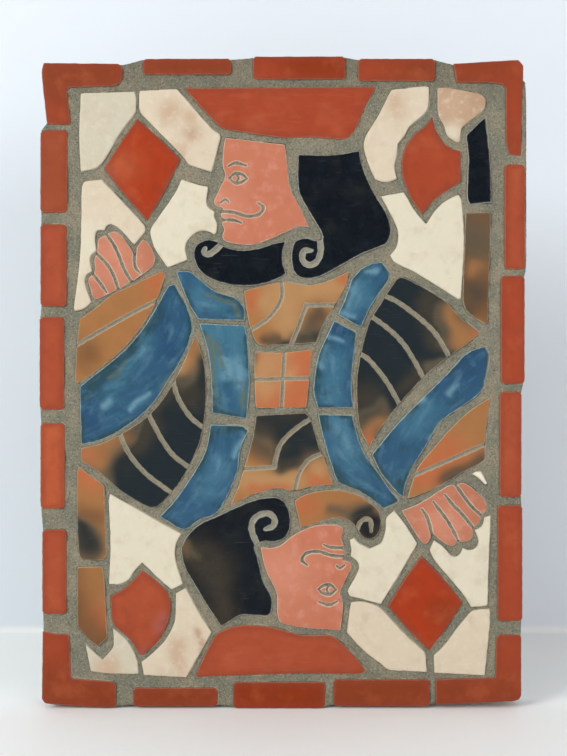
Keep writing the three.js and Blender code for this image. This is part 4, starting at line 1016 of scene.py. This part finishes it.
def fired_finish(name, gloss, dull, shine, rim, rim_share, stains, mottle, grain, bump, edge=None,
                 specks=None, speck_share=0.0, speck_number=0.0, scratches=0.0, streaks=None,
                 fill=0.0):
    """A painted tile. The slip's own colour comes from the mesh. Over it lie clouds of each stain
    (colour, lump in mm, share), mottling and fine grain, a tone toward the edge, brushed streaks,
    scratches, specks, a pale line along worn edges that is partly clay and grout haze and partly
    a painted highlight, and sandy grout in the scored lines, by a share of fill as smooth and pale
    as grout rubbed in."""
    finish = Finish(name)
    colour = finish.attribute("slip", "Color")
    rim_gap, score_gap = finish.attribute("rim"), finish.attribute("score")
    for tint, lump, share in stains:
        colour = finish.mix(colour, rgba(*tint), finish.noise(lump, 4).between(0.48, 0.72) * share)
    broad, fine = finish.noise(13, 3), finish.noise(0.9, 2)
    colour = finish.dimmed(colour, (1 - mottle / 2 - grain / 2) + broad * mottle + fine * grain)
    rough = dull + (gloss - dull) * finish.noise(7, 3).between(0.3, 0.7)
    if edge:
        toward = (1 - (rim_gap + (finish.noise(6, 3) - 0.5) * 5).between(0.5, 6.5)) * 0.55
        colour = finish.mix(colour, rgba(*edge), toward)
    if streaks:
        hair, wash = finish.brushed(22, 2.2), finish.brushed(20, 7.5)
        pale, deep, share = streaks
        run = hair.between(0.5, 0.8) * 0.35 + wash.between(0.5, 0.75) * 0.5
        colour = finish.mix(colour, rgba(*pale), run * share)
        if deep:
            pool = (1 - rim_gap.between(0.6, 4.8)) * finish.noise(15, 2).between(0.42, 0.62)
            pool = pool * 0.85 + (1 - wash).between(0.55, 0.75) * 0.35
            colour = finish.mix(colour, rgba(*deep), pool)
    if scratches:
        for turn, width in ((28, 0.5), (-41, 0.4), (80, 0.45)):
            lines = finish.noise(1.0, 1, finish.stretched(turn, (1 / 16, 1, 1 / width)))
            colour = finish.mix(colour, rgba(150, 158, 162), lines.between(0.72, 0.8) * scratches)
    if specks:
        distance, pick, tone = finish.grains(3.1)
        ragged = distance + (finish.noise(0.8, 2) - 0.5) * 0.16
        spot = (0.03 + tone * 0.11 - ragged).between(0, 0.05)
        spot = spot * (pick - (1 - speck_number)).between(0, 0.03)
        colour = finish.mix(colour, rgba(*specks), spot * speck_share)
    # Pale rim along the edges and scored lines: partly worn clay and grout haze, partly a painted
    # highlight.
    worn = rim_gap.least(score_gap) + (finish.noise(2.6, 3) - 0.5) * 1.0
    colour = finish.mix(colour, rgba(*rim), (1 - worn.between(0.2, 0.85)) * rim_share)
    sandy, sand_height = sand(finish)
    grout = 1 - (score_gap + (finish.noise(1.3, 2) - 0.5) * 0.6).between(-0.45, 0.05)
    colour = finish.mix(colour, finish.mix(sandy, rgba(172, 166, 146), fill), grout)
    rough = rough + grout * (0.95 - rough)
    height = finish.noise(0.55, 2) * 0.35 + finish.noise(3.2, 3) * 0.65
    height = height + grout * (sand_height * 3 - height)
    return finish.surface(colour, rough, height, bump, shine)


TERRACOTTA = fired_finish(
    "terracotta", 0.46, 0.62, 0.2, rim=(176, 122, 92), rim_share=0.45,
    stains=[((176, 88, 52), 16, 0.35), ((118, 46, 26), 9, 0.25)], mottle=0.16, grain=0.14,
    edge=(136, 56, 36), specks=(74, 40, 34), speck_share=0.6, speck_number=0.1, bump=0.14)
TERRACOTTA_HAT = fired_finish(
    "terracotta_brushed", 0.46, 0.62, 0.2, rim=(176, 132, 104), rim_share=0.5,
    stains=[((176, 86, 56), 20, 0.3), ((130, 50, 28), 12, 0.25)], mottle=0.12, grain=0.1,
    edge=(138, 58, 38), streaks=((186, 104, 78), None, 0.35), specks=(200, 140, 110),
    speck_share=0.6, speck_number=0.05, bump=0.12)
CREAM_SLIP = fired_finish(
    "cream_slip", 0.5, 0.62, 0.2, rim=(200, 190, 166), rim_share=0.4,
    stains=[((190, 172, 146), 11, 0.4), ((222, 212, 196), 6, 0.3)], mottle=0.05, grain=0.08,
    specks=(118, 88, 66), speck_share=0.8, speck_number=0.14, bump=0.13)
FLESH_SLIP = fired_finish(
    "flesh_slip", 0.45, 0.6, 0.2, rim=(204, 184, 166), rim_share=0.75,
    stains=[((208, 140, 122), 9, 0.5), ((176, 98, 72), 14, 0.3)], mottle=0.08, grain=0.08,
    specks=(150, 66, 52), speck_share=0.6, speck_number=0.03, bump=0.1)
BLACK_GLAZE = fired_finish(
    "black_glaze", 0.22, 0.36, 0.14, rim=(182, 182, 172), rim_share=0.7,
    stains=[((26, 36, 44), 12, 0.35), ((44, 44, 38), 18, 0.3)], mottle=0.2, grain=0.12,
    specks=(120, 126, 126), speck_share=0.6, speck_number=0.05, scratches=0.12, bump=0.1, fill=0.4)
BLUE_GLAZE = fired_finish(
    "blue_glaze", 0.22, 0.4, 0.25, rim=(176, 190, 188), rim_share=0.7,
    stains=[((30, 66, 84), 10, 0.5), ((78, 116, 134), 7, 0.3)], mottle=0.14, grain=0.08,
    streaks=(PALE_BLUE, TEAL, 0.5), specks=(170, 188, 192), speck_share=0.6, speck_number=0.06,
    bump=0.16)
OCHRE_SLIP = fired_finish(
    "ochre_slip", 0.38, 0.52, 0.18, rim=(184, 168, 144), rim_share=0.6, stains=[], mottle=0.2,
    grain=0.12, specks=(96, 72, 54), speck_share=0.5, speck_number=0.05, scratches=0.08,
    bump=0.1, fill=0.3)
MORTAR = mortar_finish()


# ---------------------------------------------------------------- the panel

SLOTS = {"terracotta": TERRACOTTA, "cream_slip": CREAM_SLIP, "flesh_slip": FLESH_SLIP,
         "black_glaze": BLACK_GLAZE, "blue_glaze": BLUE_GLAZE, "ochre_slip": OCHRE_SLIP}

# How far (mm) an outline is blurred, and the tiles under SMALL_AREA (mm2), less.
SOFT, SOFT_SMALL, SMALL_AREA = 1.5, 1.0, 600

# First random seeds of the outlines, the faces and the slab.
OUTLINE_SEED, FACE_SEED, BED_SEED = 100, 500, 7

# The small ground tiles that are one solid with the slab, by a place inside each.
SMALL_TILES = {
    "ground_top_left": (-130, 190), "ground_brim_left": (-76, 190), "ground_brim_right": (84, 205),
    "ground_top_right": (130, 200), "ground_foot_left": (-120, -206), "ground_sliver": (147, -70),
    "ground_brim_low_right": (70, -190), "ground_foot_right": (135, -195),
}

# Sharpest bends, bulging and hollow, that are drawn as curves: of the border, of the rest, and of
# the tiles that are rounder than that, such as fingers, faces, hair and collars.
BORDER_BENDS, USUAL_BENDS = (20, 20), (47, 47)
ROUND_BENDS = {name: bends for bends, names in {
    (40, 88): ("ground_hand", "ground_hand_low"),
    (88, 50): ("hand_upper", "hand_lower"),
    (60, 60): ("hair_upper", "hair_lower", "face_upper", "face_lower"),
    (62, 50): ("collar_upper", "collar_lower"),
    (16, 30): ("lapel_right_top", "lapel_right_mid"),
    (30, 30): ("ground_brim_left", "ground_brim_right", "ground_top_left"),
}.items() for name in names}

slot_of = {entry["node"]: entry["material_slot"] for entry in frame["record"]["subparts"]}
outlines = {name: back_outline(name, TILE_BACK)
            for name in frame["nodes"] if name != "mortar_bed"}
for found in small_tile_outlines(EDGE_LEVEL) + small_tile_outlines(SLIVER_LEVEL):
    for name, place in SMALL_TILES.items():
        if within(np.array([place], dtype=float), found)[0]:
            outlines[name] = found

cut = {}
for number, (name, outline) in enumerate(sorted(outlines.items())):
    bends = BORDER_BENDS if name.startswith("border") else ROUND_BENDS.get(name, USUAL_BENDS)
    soft = SOFT_SMALL if area(outline) < SMALL_AREA else SOFT
    cut[name] = hand_cut(outline, np.random.default_rng(OUTLINE_SEED + number), soft, bends)

for number, (name, outline) in enumerate(sorted(cut.items())):
    small = name in SMALL_TILES
    slot = "cream_slip" if small else slot_of[name]
    material = TERRACOTTA_HAT if name.startswith("hat") else SLOTS[slot]
    width = CURL_WIDTH if name in CURLS else SCORE_WIDTH
    back = SMALL_TILE_BACK if small else TILE_BACK
    nodes = ["mortar_bed" if small else name]
    tile_piece(name, outline, SCORED.get(name, []), width, back, material, nodes,
               np.random.default_rng(FACE_SEED + number))

bed_piece([cut[name] for name in sorted(cut)], MORTAR, np.random.default_rng(BED_SEED))


# ---------------------------------------------------------------- room, light and camera

# In metres: the floor's height, the wall's place behind the panel, the cove between them, how far
# and how high they go, and the height over which the wall's colour sets in.
FLOOR = -0.2424
WALL = 0.209
COVE = 0.006
ROOM_REACH = 4.0
ROOM_HEIGHT = 3.0
WALL_FADE = 0.009

# Lights: name, place, aim, size in m, power in W, colour. Then the light from all round.
LIGHTS = (
    ("window", (-2.7, -2.3, 1.6), (0, 0, 0), 1.8, 92, (0.96, 1.0, 1.0)),
    ("fill", (2.8, -3.0, 0.4), (0, 0, 0), 2.2, 60, (1.0, 0.965, 0.99)),
    ("ceiling", (0.1, -0.9, 2.0), (0.05, -0.1, -0.24), 1.6, 7, (1.0, 0.985, 0.96)),
)
ROOM_LIGHT, ROOM_STRENGTH = (0.95, 0.97, 1.0, 1.0), 0.3

# Camera: place in m, focal length and sensor width in mm.
EYE = (0.0004, -0.802, 0.0026)
FOCAL, SENSOR = 50, 36


def backdrop():
    """Floor and wall in one sweep: floor, quarter-round cove and wall, carried along x."""
    turn = np.linspace(0, math.pi / 2, 9)
    cove = np.stack([WALL - COVE + COVE * np.sin(turn), FLOOR + COVE - COVE * np.cos(turn)], axis=1)
    profile = np.vstack([[(-ROOM_REACH, FLOOR)], cove, [(WALL, ROOM_HEIGHT)]])
    x = np.array([-ROOM_REACH, ROOM_REACH])
    corners = np.column_stack([np.tile(x, len(profile)), np.repeat(profile, 2, axis=0)])
    first = np.arange(len(profile) - 1) * 2
    faces = np.stack([first, first + 1, first + 3, first + 2], axis=1)
    mesh = bpy.data.meshes.new("backdrop")
    mesh.from_pydata(corners.tolist(), [], faces.tolist())
    mesh.shade_smooth()
    finish = Finish("pale_card")
    rise = finish.up().between(FLOOR * 1000, (FLOOR + WALL_FADE) * 1000)
    colour = finish.mix(rgba(249, 249, 247), rgba(224, 230, 236), rise)
    shader = finish.node("BsdfPrincipled", None, {"Base Color": colour, "Roughness": 0.6})
    # Seen from behind, the wall lets the eye through to the back of the panel.
    behind = finish.node("NewGeometry").outputs["Backfacing"]
    clear = finish.node("BsdfTransparent")
    sheet = finish.node("MixShader", None, {0: behind, 1: shader.outputs[0], 2: clear.outputs[0]})
    finish.node("OutputMaterial", None, {"Surface": sheet.outputs[0]})
    mesh.materials.append(finish.material)
    card = bpy.data.objects.new("backdrop", mesh)
    bpy.context.scene.collection.objects.link(card)


def soft_light(name, place, aim, size, power, colour):
    """A round area light at a place, turned to an aim, with its size in m and its power in W."""
    data = bpy.data.lights.new(name, "AREA")
    data.shape, data.size, data.energy, data.color = "DISK", size, power, colour
    light = bpy.data.objects.new(name, data)
    light.location = place
    light.rotation_euler = (Vector(aim) - Vector(place)).to_track_quat("-Z", "Y").to_euler()
    bpy.context.scene.collection.objects.link(light)


backdrop()
for light in LIGHTS:
    soft_light(*light)

world = bpy.data.worlds.new("room")
world.use_nodes = True
background = world.node_tree.nodes["Background"]
background.inputs[0].default_value, background.inputs[1].default_value = ROOM_LIGHT, ROOM_STRENGTH
scene = bpy.context.scene
scene.world = world
scene.view_settings.view_transform = "Standard"

lens = bpy.data.cameras.new("camera")
lens.lens, lens.sensor_width = FOCAL, SENSOR
camera = bpy.data.objects.new("camera", lens)
camera.location = EYE
camera.rotation_euler = (math.pi / 2, 0, 0)
scene.collection.objects.link(camera)
scene.camera = camera

bpy.context.view_layer.update()
